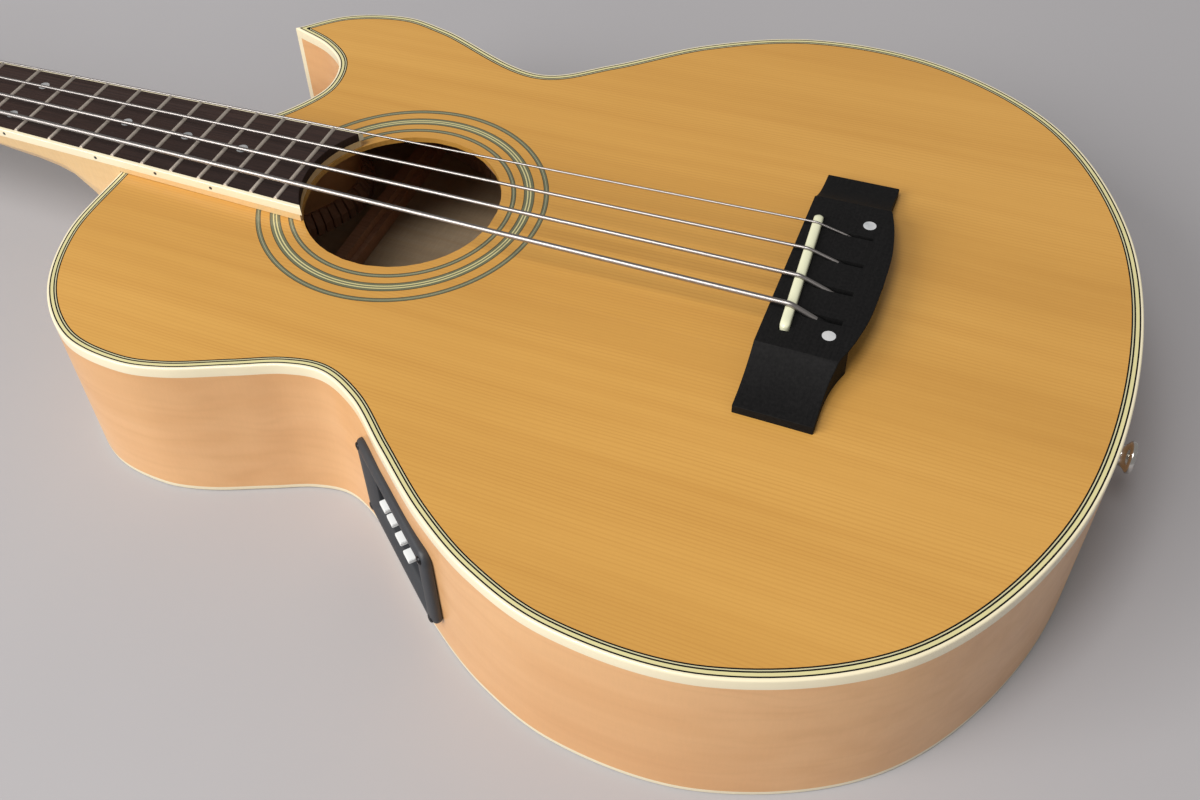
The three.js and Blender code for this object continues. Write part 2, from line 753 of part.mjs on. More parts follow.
// Neck, in its own frame: Z is zero on the face of the board, X as in the body
const boardSlope = (boardHalfWidthAtLastFret - boardHalfWidthAtNut) /
  (scaleLength * (1 - 2 ** (-fretCount / 12)));
const boardHalfWidth = (x) => boardHalfWidthAtNut + boardSlope * (x + nutToHole);
const neckHalfWidth = (x) => boardHalfWidth(x) + boardBindingWidth;
const fretX = (number) => -nutToHole + scaleLength * (1 - 2 ** (-number / 12));
const boardEndX = -Math.sqrt(soundholeRadius ** 2 - boardEndHalfWidth ** 2);

function taperedPlan(halfWidth, fromX, toX) {
  return [
    new THREE.Vector2(fromX, -halfWidth(fromX)),
    new THREE.Vector2(toX, -halfWidth(toX)),
    new THREE.Vector2(toX, halfWidth(toX)),
    new THREE.Vector2(fromX, halfWidth(fromX)),
  ];
}

// The round end of the board follows the soundhole.
const boardEndCutter = () =>
  prism(circle(soundholeRadius + seatGap, 2 * holeSides), -bodyDepth, bodyDepth);

// Joins cross-sections with the same number of corners into one closed body.
function loft(sections) {
  const corners = sections.flat();
  const count = sections[0].length;
  const positions = corners.flatMap((corner) => [corner.x, corner.y, corner.z]);
  const faces = [];
  for (let i = 0; i < sections.length - 1; i += 1) {
    for (let j = 0; j < count; j += 1) {
      const a = i * count + j;
      const b = i * count + ((j + 1) % count);
      faces.push(a, a + count, b, b, a + count, b + count);
    }
  }
  const last = (sections.length - 1) * count;
  for (let j = 1; j < count - 1; j += 1) {
    faces.push(0, j, j + 1);
    faces.push(last, last + j + 1, last + j);
  }
  const geometry = new THREE.BufferGeometry();
  geometry.setAttribute('position', new THREE.Float32BufferAttribute(positions, 3));
  geometry.setIndex(faces);
  return toSolid(geometry);
}

function shaftSection(x, depth) {
  const half = neckHalfWidth(x);
  const growth = Math.max(0, (depth - shaftDepthAtHeel) / (heelDepth - shaftDepthAtHeel));
  const section = [];
  for (let i = 0; i <= shaftSides; i += 1) {
    const angle = Math.PI * i / shaftSides;
    const across = Math.cos(angle);
    const narrowed = Math.sign(across) * Math.abs(across) ** (1 + growth * heelTaper);
    section.push(vector(x, half * narrowed, -boardThickness - depth * Math.sin(angle) ** 0.95));
  }
  return section;
}

function makeShaft() {
  const nutX = -nutToHole;
  const heelStart = neckEndX - heelLength;
  const sections = [shaftSection(nutX - nutThickness, shaftDepthAtNut)];
  sections.push(shaftSection(nutX, shaftDepthAtNut));
  heelShares.forEach(([along, growth]) => {
    const depth = shaftDepthAtHeel + growth * (heelDepth - shaftDepthAtHeel);
    sections.push(shaftSection(heelStart + along * heelLength, depth));
  });
  sections.push(shaftSection(neckEndX + 2 * overrun, heelDepth));
  return loft(sections);
}

const headOutline = (() => {
  const place = ([along, across]) => new THREE.Vector2(-along * headLength, across * headHalfWidth);
  const treble = headShares.map(place);
  const bass = treble.map((point) => new THREE.Vector2(point.x, -point.y)).reverse();
  return [...treble, ...bass];
})();

const tuners = [
  { name: 'e', x: -nearTunerToNut, y: -nearTunerOffset, side: -1 },
  { name: 'a', x: -farTunerToNut, y: -farTunerOffset, side: -1 },
  { name: 'd', x: -farTunerToNut, y: farTunerOffset, side: 1 },
  { name: 'g', x: -nearTunerToNut, y: nearTunerOffset, side: 1 },
];
const woodTop = -veneerThickness - glueGap;
const headBack = woodTop - headThickness;

function rodPocket(matrix) {
  const from = vector(-pocketLength - glueGap, -pocketHalfWidth, -pocketDepth);
  return block(from, vector(overrun, pocketHalfWidth, overrun), matrix);
}

function tunerHoles(radius, matrix) {
  const holes = tuners.map(({ x, y }) =>
    prism(circle(radius, roundSides, new THREE.Vector2(x, y)), headBack - overrun, overrun, matrix));
  return join(...holes);
}

const rodEndX = neckEndX - rodEndToBody;

function rodShape(gap) {
  const nutX = -nutToHole;
  const top = -boardThickness - rodTopBelowBoard + gap;
  const from = vector(nutX - nutThickness, -rodWidth / 2 - gap, top - rodHeight - 2 * gap);
  return block(from, vector(rodEndX + gap, rodWidth / 2 + gap, top));
}

function makeNeck() {
  const bodyTool = prism(inset(outline, -seatGap), -overrun, topFace + seatGap, bodyToNeck);
  const capLevel = heelCapHeight + heelCapThickness;
  const far = scaleLength;
  const belowCap = block(vector(-far, -far, -far), vector(far, far, capLevel), bodyToNeck);
  const belowHeel = block(vector(-far, -far, -far), vector(far, far, heelCapHeight), bodyToNeck);
  const capZone = block(vector(-far, -far, -far), vector(far, far, capLevel - glueGap), bodyToNeck);
  const raw = makeShaft().subtract(bodyTool);
  const tongue = prism(
    taperedPlan(neckHalfWidth, neckEndX - overrun, boardEndX),
    -boardThickness - boardRise,
    -boardThickness,
  ).subtract(bodyTool).subtract(boardEndCutter());
  const head = prism(headOutline, headBack, woodTop, headToNeck);
  const aboveNutSeat = block(
    vector(-nutToHole - nutThickness, -far, -boardThickness),
    vector(far, far, overrun),
  );
  let neck = join(raw.subtract(belowCap), tongue, head.subtract(aboveNutSeat));
  neck = neck.add(tenon(0).subtract(belowCap));
  neck = neck.subtract(rodPocket(headToNeck)).subtract(tunerHoles(bushingRadius + seatGap, headToNeck));
  const channelTop = block(
    vector(-nutToHole - nutThickness, -rodWidth / 2 - seatGap, -boardThickness - rodTopBelowBoard),
    vector(rodEndX + seatGap, rodWidth / 2 + seatGap, overrun),
  );
  neck = neck.subtract(rodShape(seatGap)).subtract(channelTop);
  addPiece(neckGroup, 'neck', neck, wood.maple());
  addPiece(neckGroup, 'heel_cap', raw.intersect(capZone).subtract(belowHeel), cream());
  const rodNutX = -nutToHole - nutThickness;
  const rodMiddle = -boardThickness - rodTopBelowBoard - rodHeight / 2;
  const rodNut = bar(
    vector(rodNutX - rodNutLength, 0, rodMiddle - rodNutDrop),
    vector(rodNutX + rodNutDrop, 0, rodMiddle - rodNutDrop),
    rodNutRadius,
    smallSides,
  );
  addPiece(neckGroup, 'truss_rod', rodShape(0).add(rodNut), nickel());
}

// One rounded crown for each fret, let into the board
function fretCrowns() {
  const half = fretWidth / 2;
  const profile = [
    [-half, -fretSeatDepth], [half, -fretSeatDepth], [half, fretHeight * 0.25], [half * 0.4, fretHeight],
    [-half * 0.4, fretHeight], [-half, fretHeight * 0.25],
  ].map(([across, up]) => new THREE.Vector2(across, up));
  const crowns = [];
  const boardEnd = -soundholeRadius - seatGap;
  for (let number = 1; number <= fretCount && fretX(number) + fretWidth < boardEnd; number += 1) {
    const x = fretX(number);
    const reach = boardHalfWidth(x) - glueGap;
    const geometry = new THREE.ExtrudeGeometry(new THREE.Shape(profile), { depth: 2 * reach, bevelEnabled: false });
    geometry.rotateX(Math.PI / 2);
    geometry.translate(x, reach, 0);
    crowns.push(toSolid(geometry));
  }
  return join(...crowns);
}

function makeBoard() {
  const nutX = -nutToHole;
  const low = -boardThickness + glueGap;
  const plan = taperedPlan((x) => boardHalfWidth(x) - glueGap, nutX, boardEndX);
  const board = prism(plan, low, 0).subtract(boardEndCutter());
  addPiece(neckGroup, 'fingerboard', board.add(fretCrowns()), wood.rosewood());
  const strip = (side) => {
    const corners = [
      new THREE.Vector2(nutX, side * boardHalfWidth(nutX)),
      new THREE.Vector2(boardEndX, side * boardHalfWidth(boardEndX)),
      new THREE.Vector2(boardEndX, side * neckHalfWidth(boardEndX)),
      new THREE.Vector2(nutX, side * neckHalfWidth(nutX)),
    ];
    return prism(corners, low, 0).subtract(boardEndCutter());
  };
  addPiece(neckGroup, 'board_binding_bass', strip(-1), cream());
  addPiece(neckGroup, 'board_binding_treble', strip(1), cream());
}

// Strings: their places at the saddle and the nut, in the body's frame
const bridgeTop = topFace + bridgeTopAboveRim;
const saddleTop = bridgeTop + saddleTopAboveBridge;
const stringPlaces = stringRadii.map((radius, i) => {
  const order = i - (stringCount - 1) / 2;
  const saddleY = order * stringSpacingAtSaddle;
  const saddleX = saddleToHole - saddleSlant * saddleY / (2 * saddleHalfLength);
  const atSaddle = vector(saddleX, saddleY, saddleTop + radius - stringSink);
  const nutLocal = vector(-nutToHole, order * stringSpacingAtNut, nutTopAboveBoard + radius - 3 * stringSink);
  const atNut = nutLocal.applyMatrix4(neckToBody);
  const ballX = bridgeFrontToHole + bridgeMiddleLength - ballLength - ballRecess;
  const atBall = vector(ballX, saddleY, bridgeTop - ballTopBelowBridge);
  const atSlot = vector(stringSlotFront, saddleY, bridgeTop - slotDipShare * radius);
  const { x, y, side } = tuners[i];
  const inner = y - side * (postRadius + runningGap + radius);
  const atPost = vector(x, inner, windingBottom + windingHeight / 2).applyMatrix4(headToBody);
  return { radius, atBall, atSlot, atSaddle, atNut, atPost };
});

function stringRuns({ radius, atBall, atSlot, atSaddle, atNut, atPost }, gap, sides) {
  const size = radius + gap;
  return [
    bar(atBall, atSlot, size, sides),
    bar(atSlot, atSaddle, size, sides),
    bar(atSaddle, atNut, size, sides),
    bar(atNut, atPost, size, sides),
  ];
}

function ballEnd({ atBall }, gap) {
  const back = vector(ballLength + gap, 0, 0);
  return bar(atBall.clone().add(vector(-gap, 0, 0)), atBall.clone().add(back), ballRadius + gap, smallSides);
}

function makeStrings() {
  stringPlaces.forEach((place, i) => {
    const { name, x, y } = tuners[i];
    const inner = postRadius + runningGap;
    const outer = inner + 2 * place.radius;
    const coil = turned(
      [
        [inner, windingBottom], [outer, windingBottom],
        [outer, windingBottom + windingHeight], [inner, windingBottom + windingHeight], [inner, windingBottom],
      ],
      roundSides,
      headToBody.clone().multiply(new THREE.Matrix4().makeTranslation(x, y, 0)),
    );
    const whole = join(...stringRuns(place, 0, stringSides), coil, ballEnd(place, 0));
    addPiece(guitar, `string_${name}`, whole, nickel());
  });
}

function makeNut() {
  const width = neckHalfWidth(-nutToHole);
  const from = vector(-nutToHole - nutThickness + glueGap, -width, -boardThickness + glueGap);
  let nut = block(from, vector(-nutToHole - glueGap, width, nutTopAboveBoard));
  const slots = stringPlaces.flatMap((place) => {
    const local = (point) => point.clone().applyMatrix4(bodyToNeck);
    const size = place.radius + seatGap;
    const atNut = local(place.atNut);
    const behind = atNut.clone().lerp(local(place.atPost), 0.4);
    const ahead = atNut.clone().lerp(local(place.atSaddle), 0.05);
    const lift = vector(0, 0, nutTopAboveBoard);
    return [
      bar(behind, atNut, size, stringSides),
      bar(atNut, ahead, size, stringSides),
      block(
        vector(atNut.x - 2 * nutThickness, atNut.y - size, atNut.z),
        vector(atNut.x + nutThickness, atNut.y + size, atNut.z + lift.z),
      ),
    ];
  });
  nut = nut.subtract(join(...slots));
  addPiece(neckGroup, 'nut', nut, cream());
}

const coverStart = -nutThickness / 2;
const coverScrews = [
  new THREE.Vector2(coverStart - coverLength * 0.13, -coverHalfWidth * 0.7),
  new THREE.Vector2(coverStart - coverLength * 0.13, coverHalfWidth * 0.7),
  new THREE.Vector2(coverStart - coverLength * 0.86, 0),
];

function makeHead() {
  const veneer = prism(headOutline, -veneerThickness, 0)
    .subtract(rodPocket())
    .subtract(tunerHoles(bushingRadius + seatGap))
    .subtract(block(vector(-nutThickness / 8, -headLength, -overrun), vector(headLength, headLength, overrun)));
  addPiece(headGroup, 'headstock_veneer', veneer, wood.ebony());
  const start = coverStart;
  const coverPlan = [
    new THREE.Vector2(start, -coverHalfWidth * 0.8),
    new THREE.Vector2(start, coverHalfWidth * 0.8),
    new THREE.Vector2(start - coverLength * 0.3, coverHalfWidth),
    new THREE.Vector2(start - coverLength * 0.75, coverHalfWidth * 0.75),
    new THREE.Vector2(start - coverLength, 0),
    new THREE.Vector2(start - coverLength * 0.75, -coverHalfWidth * 0.75),
    new THREE.Vector2(start - coverLength * 0.3, -coverHalfWidth),
  ];
  const coverTop = seatGap + coverThickness;
  const cover = prism(coverPlan.reverse(), seatGap, coverTop);
  const heads = coverScrews.map((point) => screwHead(point, coverTop, 1));
  addPiece(headGroup, 'truss_rod_cover', join(cover, ...heads), blackPlastic());
}

// The head of a screw that holds a cover or a plate, on its outer face
function screwHead(point, face, side) {
  const levels = [face - side * screwSeat, face + side * screwHeadHeight];
  return prism(circle(screwRadius, smallSides, point), Math.min(...levels), Math.max(...levels));
}

// Bridge, with the slanted seat of the saddle, and slots and tunnels for the strings
const saddlePlace = new THREE.Matrix4().makeTranslation(saddleToHole, 0, 0);
const saddleTurn = Math.atan(saddleSlant / (2 * saddleHalfLength));
saddlePlace.multiply(new THREE.Matrix4().makeRotationZ(saddleTurn));
saddlePlace.multiply(new THREE.Matrix4().makeTranslation(0, -saddleBassShift, 0));
const pickupTop = bridgeTop - saddleSeatDepth - seatGap;

function bridgePlan() {
  const back = bellyShares.map(([along, bulge]) => {
    const length = bridgeEndLength + bulge * (bridgeMiddleLength - bridgeEndLength);
    return new THREE.Vector2(bridgeFrontToHole + length, along * bridgeHalfWidth);
  });
  const trebleBack = back.slice(1);
  const mirrored = trebleBack.slice(0, -1).map((point) => new THREE.Vector2(point.x, -point.y)).reverse();
  const round = bridgeCornerCut;
  const end = (side) => [
    new THREE.Vector2(bridgeFrontToHole + round, side * bridgeHalfWidth),
    new THREE.Vector2(bridgeFrontToHole + bridgeEndLength - round, side * bridgeHalfWidth),
    new THREE.Vector2(bridgeFrontToHole + bridgeEndLength, side * (bridgeHalfWidth - round)),
  ];
  const front = (side) => new THREE.Vector2(bridgeFrontToHole, side * (bridgeHalfWidth - round));
  return [front(-1), ...end(-1), ...mirrored.reverse(), ...trebleBack.reverse(), ...end(1).reverse(), front(1)]
    .filter((point, i, all) => i === 0 || point.distanceTo(all[i - 1]) > glueGap);
}

// What the undercut takes away: rows across the bridge, each a slope under the belly's back edge
function undercutTool() {
  const low = bridgeTop - undercutLip - undercutDepth;
  const shares = bellyShares.filter(([along]) => along * bridgeHalfWidth < undercutHalfWidth);
  const bulgeAt = (across) => {
    const next = bellyShares.findIndex(([along]) => along * bridgeHalfWidth < across);
    const [outer, inner] = [bellyShares[next - 1], bellyShares[next]];
    const part = (outer[0] - across / bridgeHalfWidth) / (outer[0] - inner[0]);
    return outer[1] + part * (inner[1] - outer[1]);
  };
  const half = [[undercutHalfWidth / bridgeHalfWidth, bulgeAt(undercutHalfWidth)], ...shares];
  const rows = [...half, ...half.slice(0, -1).map(([along, bulge]) => [-along, bulge]).reverse()];
  return loft(rows.map(([along, bulge]) => {
    const across = along * bridgeHalfWidth;
    const length = bridgeEndLength + bulge * (bridgeMiddleLength - bridgeEndLength);
    const edge = bridgeFrontToHole + length;
    return [
      vector(edge, across, bridgeTop - undercutLip),
      vector(edge + overrun, across, bridgeTop - undercutLip),
      vector(edge + overrun, across, low),
      vector(edge - undercutDepth, across, low),
    ];
  }));
}

function makeBridge() {
  const plan = bridgePlan();
  const ordered = THREE.ShapeUtils.isClockWise(plan) ? plan.reverse() : plan;
  let bridge = prism(ordered, topFace, bridgeTop).subtract(archMound(seatGap, topFace - overrun));
  const drop = bridgeTopAboveRim - bridgeEndAboveRim;
  const wingLength = bridgeHalfWidth - bridgeBlockHalfWidth;
  const wing = wingShares.map(([along, share]) =>
    new THREE.Vector2(bridgeBlockHalfWidth + along * wingLength, bridgeTop - share * drop));
  const profile = [
    ...wing,
    new THREE.Vector2(bridgeHalfWidth + overrun, wing.at(-1).y),
    new THREE.Vector2(bridgeHalfWidth + overrun, bridgeTop + overrun),
    new THREE.Vector2(bridgeBlockHalfWidth, bridgeTop + overrun),
  ];
  const acrossBridge = (side) => {
    const mirrored = profile.map((point) => new THREE.Vector2(side * point.x, point.y));
    const place = new THREE.Matrix4().makeBasis(vector(0, 1, 0), vector(0, 0, 1), vector(1, 0, 0));
    return prism(mirrored, bridgeFrontToHole - overrun, bridgeFrontToHole + 2 * bridgeMiddleLength, place);
  };
  bridge = bridge.subtract(acrossBridge(1)).subtract(acrossBridge(-1));
  const seatHalf = saddleWidth / 2 + seatGap;
  const seatFloor = pickupTop - pickupThickness - seatGap;
  const seatReach = saddleHalfLength + seatGap;
  const seat = block(vector(-seatHalf, -seatReach, seatFloor), vector(seatHalf, seatReach, saddleTop), saddlePlace);
  const paths = stringPlaces.map((place) => {
    const half = place.radius + seatGap;
    const slot = block(
      vector(stringSlotFront - slotLeadShare * place.radius, place.atBall.y - half, bridgeTop - stringSlotDepth),
      vector(stringSlotFront + stringSlotLength, place.atBall.y + half, saddleTop),
    );
    const bore = ballEnd(place, seatGap);
    const outwards = bar(
      place.atBall,
      place.atBall.clone().add(vector(bridgeEndLength, 0, 0)),
      ballRadius + seatGap,
      smallSides,
    );
    return join(...stringRuns(place, seatGap, stringSides).slice(0, 2), slot, bore, outwards);
  });
  bridge = bridge.subtract(join(seat, undercutTool(), ...paths));
  addPiece(guitar, 'bridge', bridge, wood.ebony());
  const bottom = bridgeTop - saddleSeatDepth;
  const shoulder = saddleTop - saddleTopAboveBridge / 2;
  const endRound = saddleTopAboveBridge;
  const saddleProfile = [
    new THREE.Vector2(-saddleHalfLength, bottom),
    new THREE.Vector2(saddleHalfLength, bottom),
    new THREE.Vector2(saddleHalfLength, shoulder),
    new THREE.Vector2(saddleHalfLength - endRound, saddleTop),
    new THREE.Vector2(endRound - saddleHalfLength, saddleTop),
    new THREE.Vector2(-saddleHalfLength, shoulder),
  ];
  const upright = saddlePlace.clone().multiply(
    new THREE.Matrix4().makeBasis(vector(0, 1, 0), vector(0, 0, 1), vector(1, 0, 0)),
  );
  const notches = stringPlaces.flatMap((place) => stringRuns(place, seatGap, stringSides).slice(1, 3));
  const saddle = prism(saddleProfile, -saddleWidth / 2, saddleWidth / 2, upright).subtract(join(...notches));
  addPiece(guitar, 'saddle', saddle, cream());
  const strip = block(
    vector(-pickupWidth / 2, -saddleHalfLength, pickupTop - pickupThickness),
    vector(pickupWidth / 2, saddleHalfLength, pickupTop),
    saddlePlace,
  );
  addPiece(guitar, 'saddle_pickup', strip, nickel());
}

// Tuners, in the headstock's frame: open gears on the back, each turned by a worm on its key
const plateTop = headBack - seatGap;
const plateUnder = plateTop - tunerPlateThickness;
const wormLevel = plateUnder - wormRadius - runningGap;
const gearTop = wormLevel + gearThickness / 2;
const wormOffset = gearRadius + wormRadius + runningGap;
const lugGap = wormHalfLength + runningGap;
const plateEnd = wormOffset + lugHalfLength;
const tunerScrewPlaces = ({ x, y }) => [-1, 1].flatMap((side) => {
  const across = y + side * (tunerPlateHalfWidth - screwRadius - glueGap);
  return [-1, 1].map((end) => new THREE.Vector2(x + end * (tunerPlateHalfWidth - screwRadius - glueGap), across));
});

function tunerPlate(tuner) {
  const { x, y } = tuner;
  const half = tunerPlateHalfWidth;
  const plate = block(vector(x - half, y - half, plateUnder), vector(x + plateEnd, y + half, plateTop));
  const lugLow = wormLevel - wormRadius;
  const lugs = [-1, 1].map((end) => {
    const inner = y + end * lugGap;
    const outer = y + end * (lugGap + lugThickness);
    return block(
      vector(x + wormOffset - lugHalfLength, Math.min(inner, outer), lugLow),
      vector(x + wormOffset + lugHalfLength, Math.max(inner, outer), plateTop),
    );
  });
  const far = 2 * half;
  const shaftHole = bar(
    vector(x + wormOffset, y - far, wormLevel),
    vector(x + wormOffset, y + far, wormLevel),
    keyShaftRadius + runningGap,
    roundSides,
  );
  const postHole = prism(
    circle(postRadius + runningGap, roundSides, new THREE.Vector2(x, y)),
    plateUnder - overrun,
    plateTop + overrun,
  );
  const heads = tunerScrewPlaces(tuner).map((point) => screwHead(point, plateUnder, -1));
  return join(plate, ...lugs, ...heads).subtract(join(shaftHole, postHole));
}

function tunerBushing({ x, y }) {
  const inner = postRadius + runningGap;
  return turned(
    [
      [inner, woodTop - headThickness / 2],
      [bushingRadius, woodTop - headThickness / 2],
      [bushingRadius, seatGap],
      [bushingFlangeRadius, seatGap],
      [bushingFlangeRadius, seatGap + bushingFlangeHeight],
      [inner, seatGap + bushingFlangeHeight],
      [inner, woodTop - headThickness / 2],
    ],
    roundSides,
    new THREE.Matrix4().makeTranslation(x, y, 0),
  );
}

function tunerPost({ x, y }) {
  const post = turned(
    [
      [0, gearTop - gearThickness - gearScrewHeight],
      [gearScrewRadius, gearTop - gearThickness - gearScrewHeight],
      [gearScrewRadius, gearTop - gearThickness],
      [postRadius, gearTop - gearThickness],
      [postRadius, postRise - postChamfer],
      [postRadius - postChamfer, postRise],
      [0, postRise],
    ],
    roundSides,
    new THREE.Matrix4().makeTranslation(x, y, 0),
  );
  const teeth = [];
  for (let i = 0; i < 2 * gearTeeth; i += 1) {
    const angle = Math.PI * i / gearTeeth;
    const radius = gearRadius - (i % 2) * gearToothDepth;
    teeth.push(new THREE.Vector2(x + radius * Math.cos(angle), y + radius * Math.sin(angle)));
  }
  return post.add(prism(teeth, gearTop - gearThickness, gearTop));
}

function tunerKey({ x, y, side }) {
  const axisX = x + wormOffset;
  const start = y - side * (lugGap + lugThickness);
  const keyBase = side * (headHalfWidth + keyReach / 4);
  const shaftEnd = keyBase + side * keyReach / 2;
  const at = (level) => vector(axisX, level, wormLevel);
  const shaft = bar(at(start), at(shaftEnd), keyShaftRadius, smallSides);
  const threads = [-1, 0, 1].map((turn) => {
    const middle = y + turn * wormHalfLength * 0.66;
    const half = wormHalfLength * 0.22;
    return bar(at(middle - half), at(middle + half), wormRadius, smallSides);
  });
  const root = bar(at(y - wormHalfLength), at(y + wormHalfLength), wormRadius * 0.75, smallSides);
  const lobe = (along, out) => prism(
    circle(keyLobeRadius, roundSides - 4, new THREE.Vector2(axisX + along, keyBase + side * out)),
    wormLevel - keyThickness / 2,
    wormLevel + keyThickness / 2,
  );
  const lobes = [lobe(-keyLobeRadius, keyLobeRadius), lobe(keyLobeRadius, keyLobeRadius), lobe(0, 2.2 * keyLobeRadius)];
  return join(shaft, root, ...threads, ...lobes);
}

function makeTuners() {
  tuners.forEach((tuner) => {
    addPiece(headGroup, `tuner_plate_${tuner.name}`, tunerPlate(tuner), nickel());
    addPiece(headGroup, `tuner_bushing_${tuner.name}`, tunerBushing(tuner), nickel());
    addPiece(headGroup, `tuner_post_${tuner.name}`, tunerPost(tuner), nickel());
    addPiece(headGroup, `tuner_key_${tuner.name}`, tunerKey(tuner), nickel());
  });
}

// Preamp in the bass side. In its own frame, Z points out of the side and X along it.
const boxHalf = new THREE.Vector2(preampBoxLength / 2, preampBoxWidth / 2);
const frameBack = -panelSetback;
const panelBack = frameBack - seatGap - panelThickness;
const housingFront = frameBack - seatGap;

function box(half, low, high, matrix) {
  return block(vector(-half.x, -half.y, low), vector(half.x, half.y, high), matrix);
}

function preampHole(gap) {
  const half = new THREE.Vector2(boxHalf.x + gap, boxHalf.y + gap);
  return box(half, panelBack - housingDepth - gap, 3 * overrun, preampToBody);
}

function roundedPlate(length, width, radius) {
  const corners = [[1, 1, 0], [-1, 1, 1], [-1, -1, 2], [1, -1, 3]];
  return corners.flatMap(([alongSide, acrossSide, quarter]) => {
    const middle = new THREE.Vector2(alongSide * (length / 2 - radius), acrossSide * (width / 2 - radius));
    return [0, 1, 2, 3].map((step) => {
      const angle = (quarter + step / 3) * Math.PI / 2;
      return new THREE.Vector2(middle.x + radius * Math.cos(angle), middle.y + radius * Math.sin(angle));
    });
  });
}

const sliderPlaces = Array.from({ length: sliderCount }, (_, i) =>
  sliderRowOffset + (i - (sliderCount - 1) / 2) * sliderPitch);
const preampScrews = [[1, 1], [-1, 1], [-1, -1], [1, -1]].map(([alongSide, acrossSide]) => new THREE.Vector2(
  alongSide * (preampLength / 2 - preampScrewInset),
  acrossSide * (preampWidth / 2 - preampScrewInset),
));

function makePreamp() {
  const plan = roundedPlate(preampLength, preampWidth, preampCornerRadius);
  const bevel = preampBevel;
  const face = roundedPlate(preampLength - 2 * bevel, preampWidth - 2 * bevel, preampCornerRadius - bevel);
  const rimLevel = preampProud - bevel;
  const flange = prism(plan, frameBack, rimLevel).add(prism(face, frameBack, preampProud));
  const bodyTool = prism(inset(outline, -seatGap), -overrun, topFace + overrun, bodyToPreamp);
  const sleeve = box(new THREE.Vector2(boxHalf.x - seatGap, boxHalf.y - seatGap), frameBack, rimLevel);
  const window = box(new THREE.Vector2(windowLength / 2, windowWidth / 2), frameBack - overrun, preampProud + overrun);
  const heads = preampScrews.map((point) => screwHead(point, preampProud, 1));
  const frame = join(flange.subtract(bodyTool), sleeve).subtract(window).add(join(...heads));
  addPiece(preampGroup, 'preamp_frame', frame, blackPlastic());
  const slots = sliderPlaces.map((x) => {
    const reach = sliderTravel + sliderStemLength / 2 + runningGap;
    const half = sliderSlotWidth / 2;
    return block(vector(x - half, -reach, panelBack - overrun), vector(x + half, reach, preampProud));
  });
  const pocketHalf = new THREE.Vector2(boxHalf.x - housingWall, boxHalf.y - housingWall);
  const outer = box(boxHalf, panelBack - housingDepth, housingFront);
  const hollow = box(pocketHalf, panelBack - housingDepth + housingWall, panelBack);
  addPiece(preampGroup, 'preamp_housing', outer.subtract(join(hollow, ...slots)), blackPlastic());
  const batteryHalf = new THREE.Vector2(batteryLength / 2, batteryWidth / 2);
  const batteryBack = panelBack - housingDepth + housingWall + seatGap;
  const battery = box(batteryHalf, batteryBack, batteryBack + batteryHeight);
  addPiece(preampGroup, 'battery', battery, blackPlastic());
  sliderPlaces.forEach((x, i) => {
    const stemHalf = new THREE.Vector2(sliderStemWidth / 2, sliderStemLength / 2);
    const knobLow = housingFront + runningGap;
    const stem = box(stemHalf, panelBack - sliderStemBehind, knobLow + overrun / 2);
    const cap = box(new THREE.Vector2(sliderKnobLength / 2, sliderKnobWidth / 2), knobLow, knobLow + sliderKnobHeight);
    const geometry = stem.add(cap).translate([x, sliderSettingShares[i] * sliderTravel, 0]);
    addPiece(preampGroup, `preamp_slider_${i + 1}`, geometry, finish(0xe8e8e6, 0.4));
  });
}

function jackBarrel(gap) {
  const from = vector(tailX - 2 * jackBarrelLength, 0, jackHeight);
  return bar(from, vector(tailX + overrun, 0, jackHeight), jackBarrelRadius + gap, roundSides);
}

// The endpin is also the jack: a plug goes in along its middle, and the strap button is its outside.
function makeJack() {
  const insideFace = -sideThickness - tailBlockLength - seatGap;
  const place = new THREE.Matrix4().makeTranslation(tailX, 0, jackHeight);
  place.multiply(new THREE.Matrix4().makeRotationY(Math.PI / 2));
  const profile = [
    [0, -jackBarrelLength],
    [jackBarrelRadius, -jackBarrelLength],
    [jackBarrelRadius, insideFace - jackNutThickness],
    [jackNutRadius, insideFace - jackNutThickness],
    [jackNutRadius, insideFace],
    [jackBarrelRadius, insideFace],
    [jackBarrelRadius, seatGap],
    [jackFlangeRadius, seatGap],
    [jackFlangeRadius, seatGap + jackWasherThickness],
    [jackNeckRadius, seatGap + jackWasherThickness],
    [jackNeckRadius, jackProud - jackFlangeThickness],
    [jackFlangeRadius, jackProud - jackChamfer],
    [jackFlangeRadius - jackChamfer, jackProud],
    [jackBoreRadius, jackProud],
    [jackBoreRadius, jackProud - jackBoreLength],
    [0, jackProud - jackBoreLength],
  ];
  addPiece(guitar, 'endpin_jack', turned(profile, roundSides, place), nickel());
}

makeTop();
makeBack();
makeSides();
makeBindings();
makeInside();
makeTopBraces();
makeNeck();
makeBoard();
makeNut();
makeHead();
makeTuners();
makeBridge();
makeStrings();
makePreamp();
makeJack();

export default guitar;
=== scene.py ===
"""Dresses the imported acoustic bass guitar: fine surfaces, woods, metals and studio light.

Lengths are in millimetres until a mesh is made. The guitar lies on its back: +X runs to the
tail, +Y to the treble side with the cutaway, and +Z out of the top. The origin is on the
back, under the middle of the soundhole.
"""

import math

import bmesh
import bpy
import numpy as np
from mathutils import Matrix, Vector
from mathutils.geometry import delaunay_2d_cdt


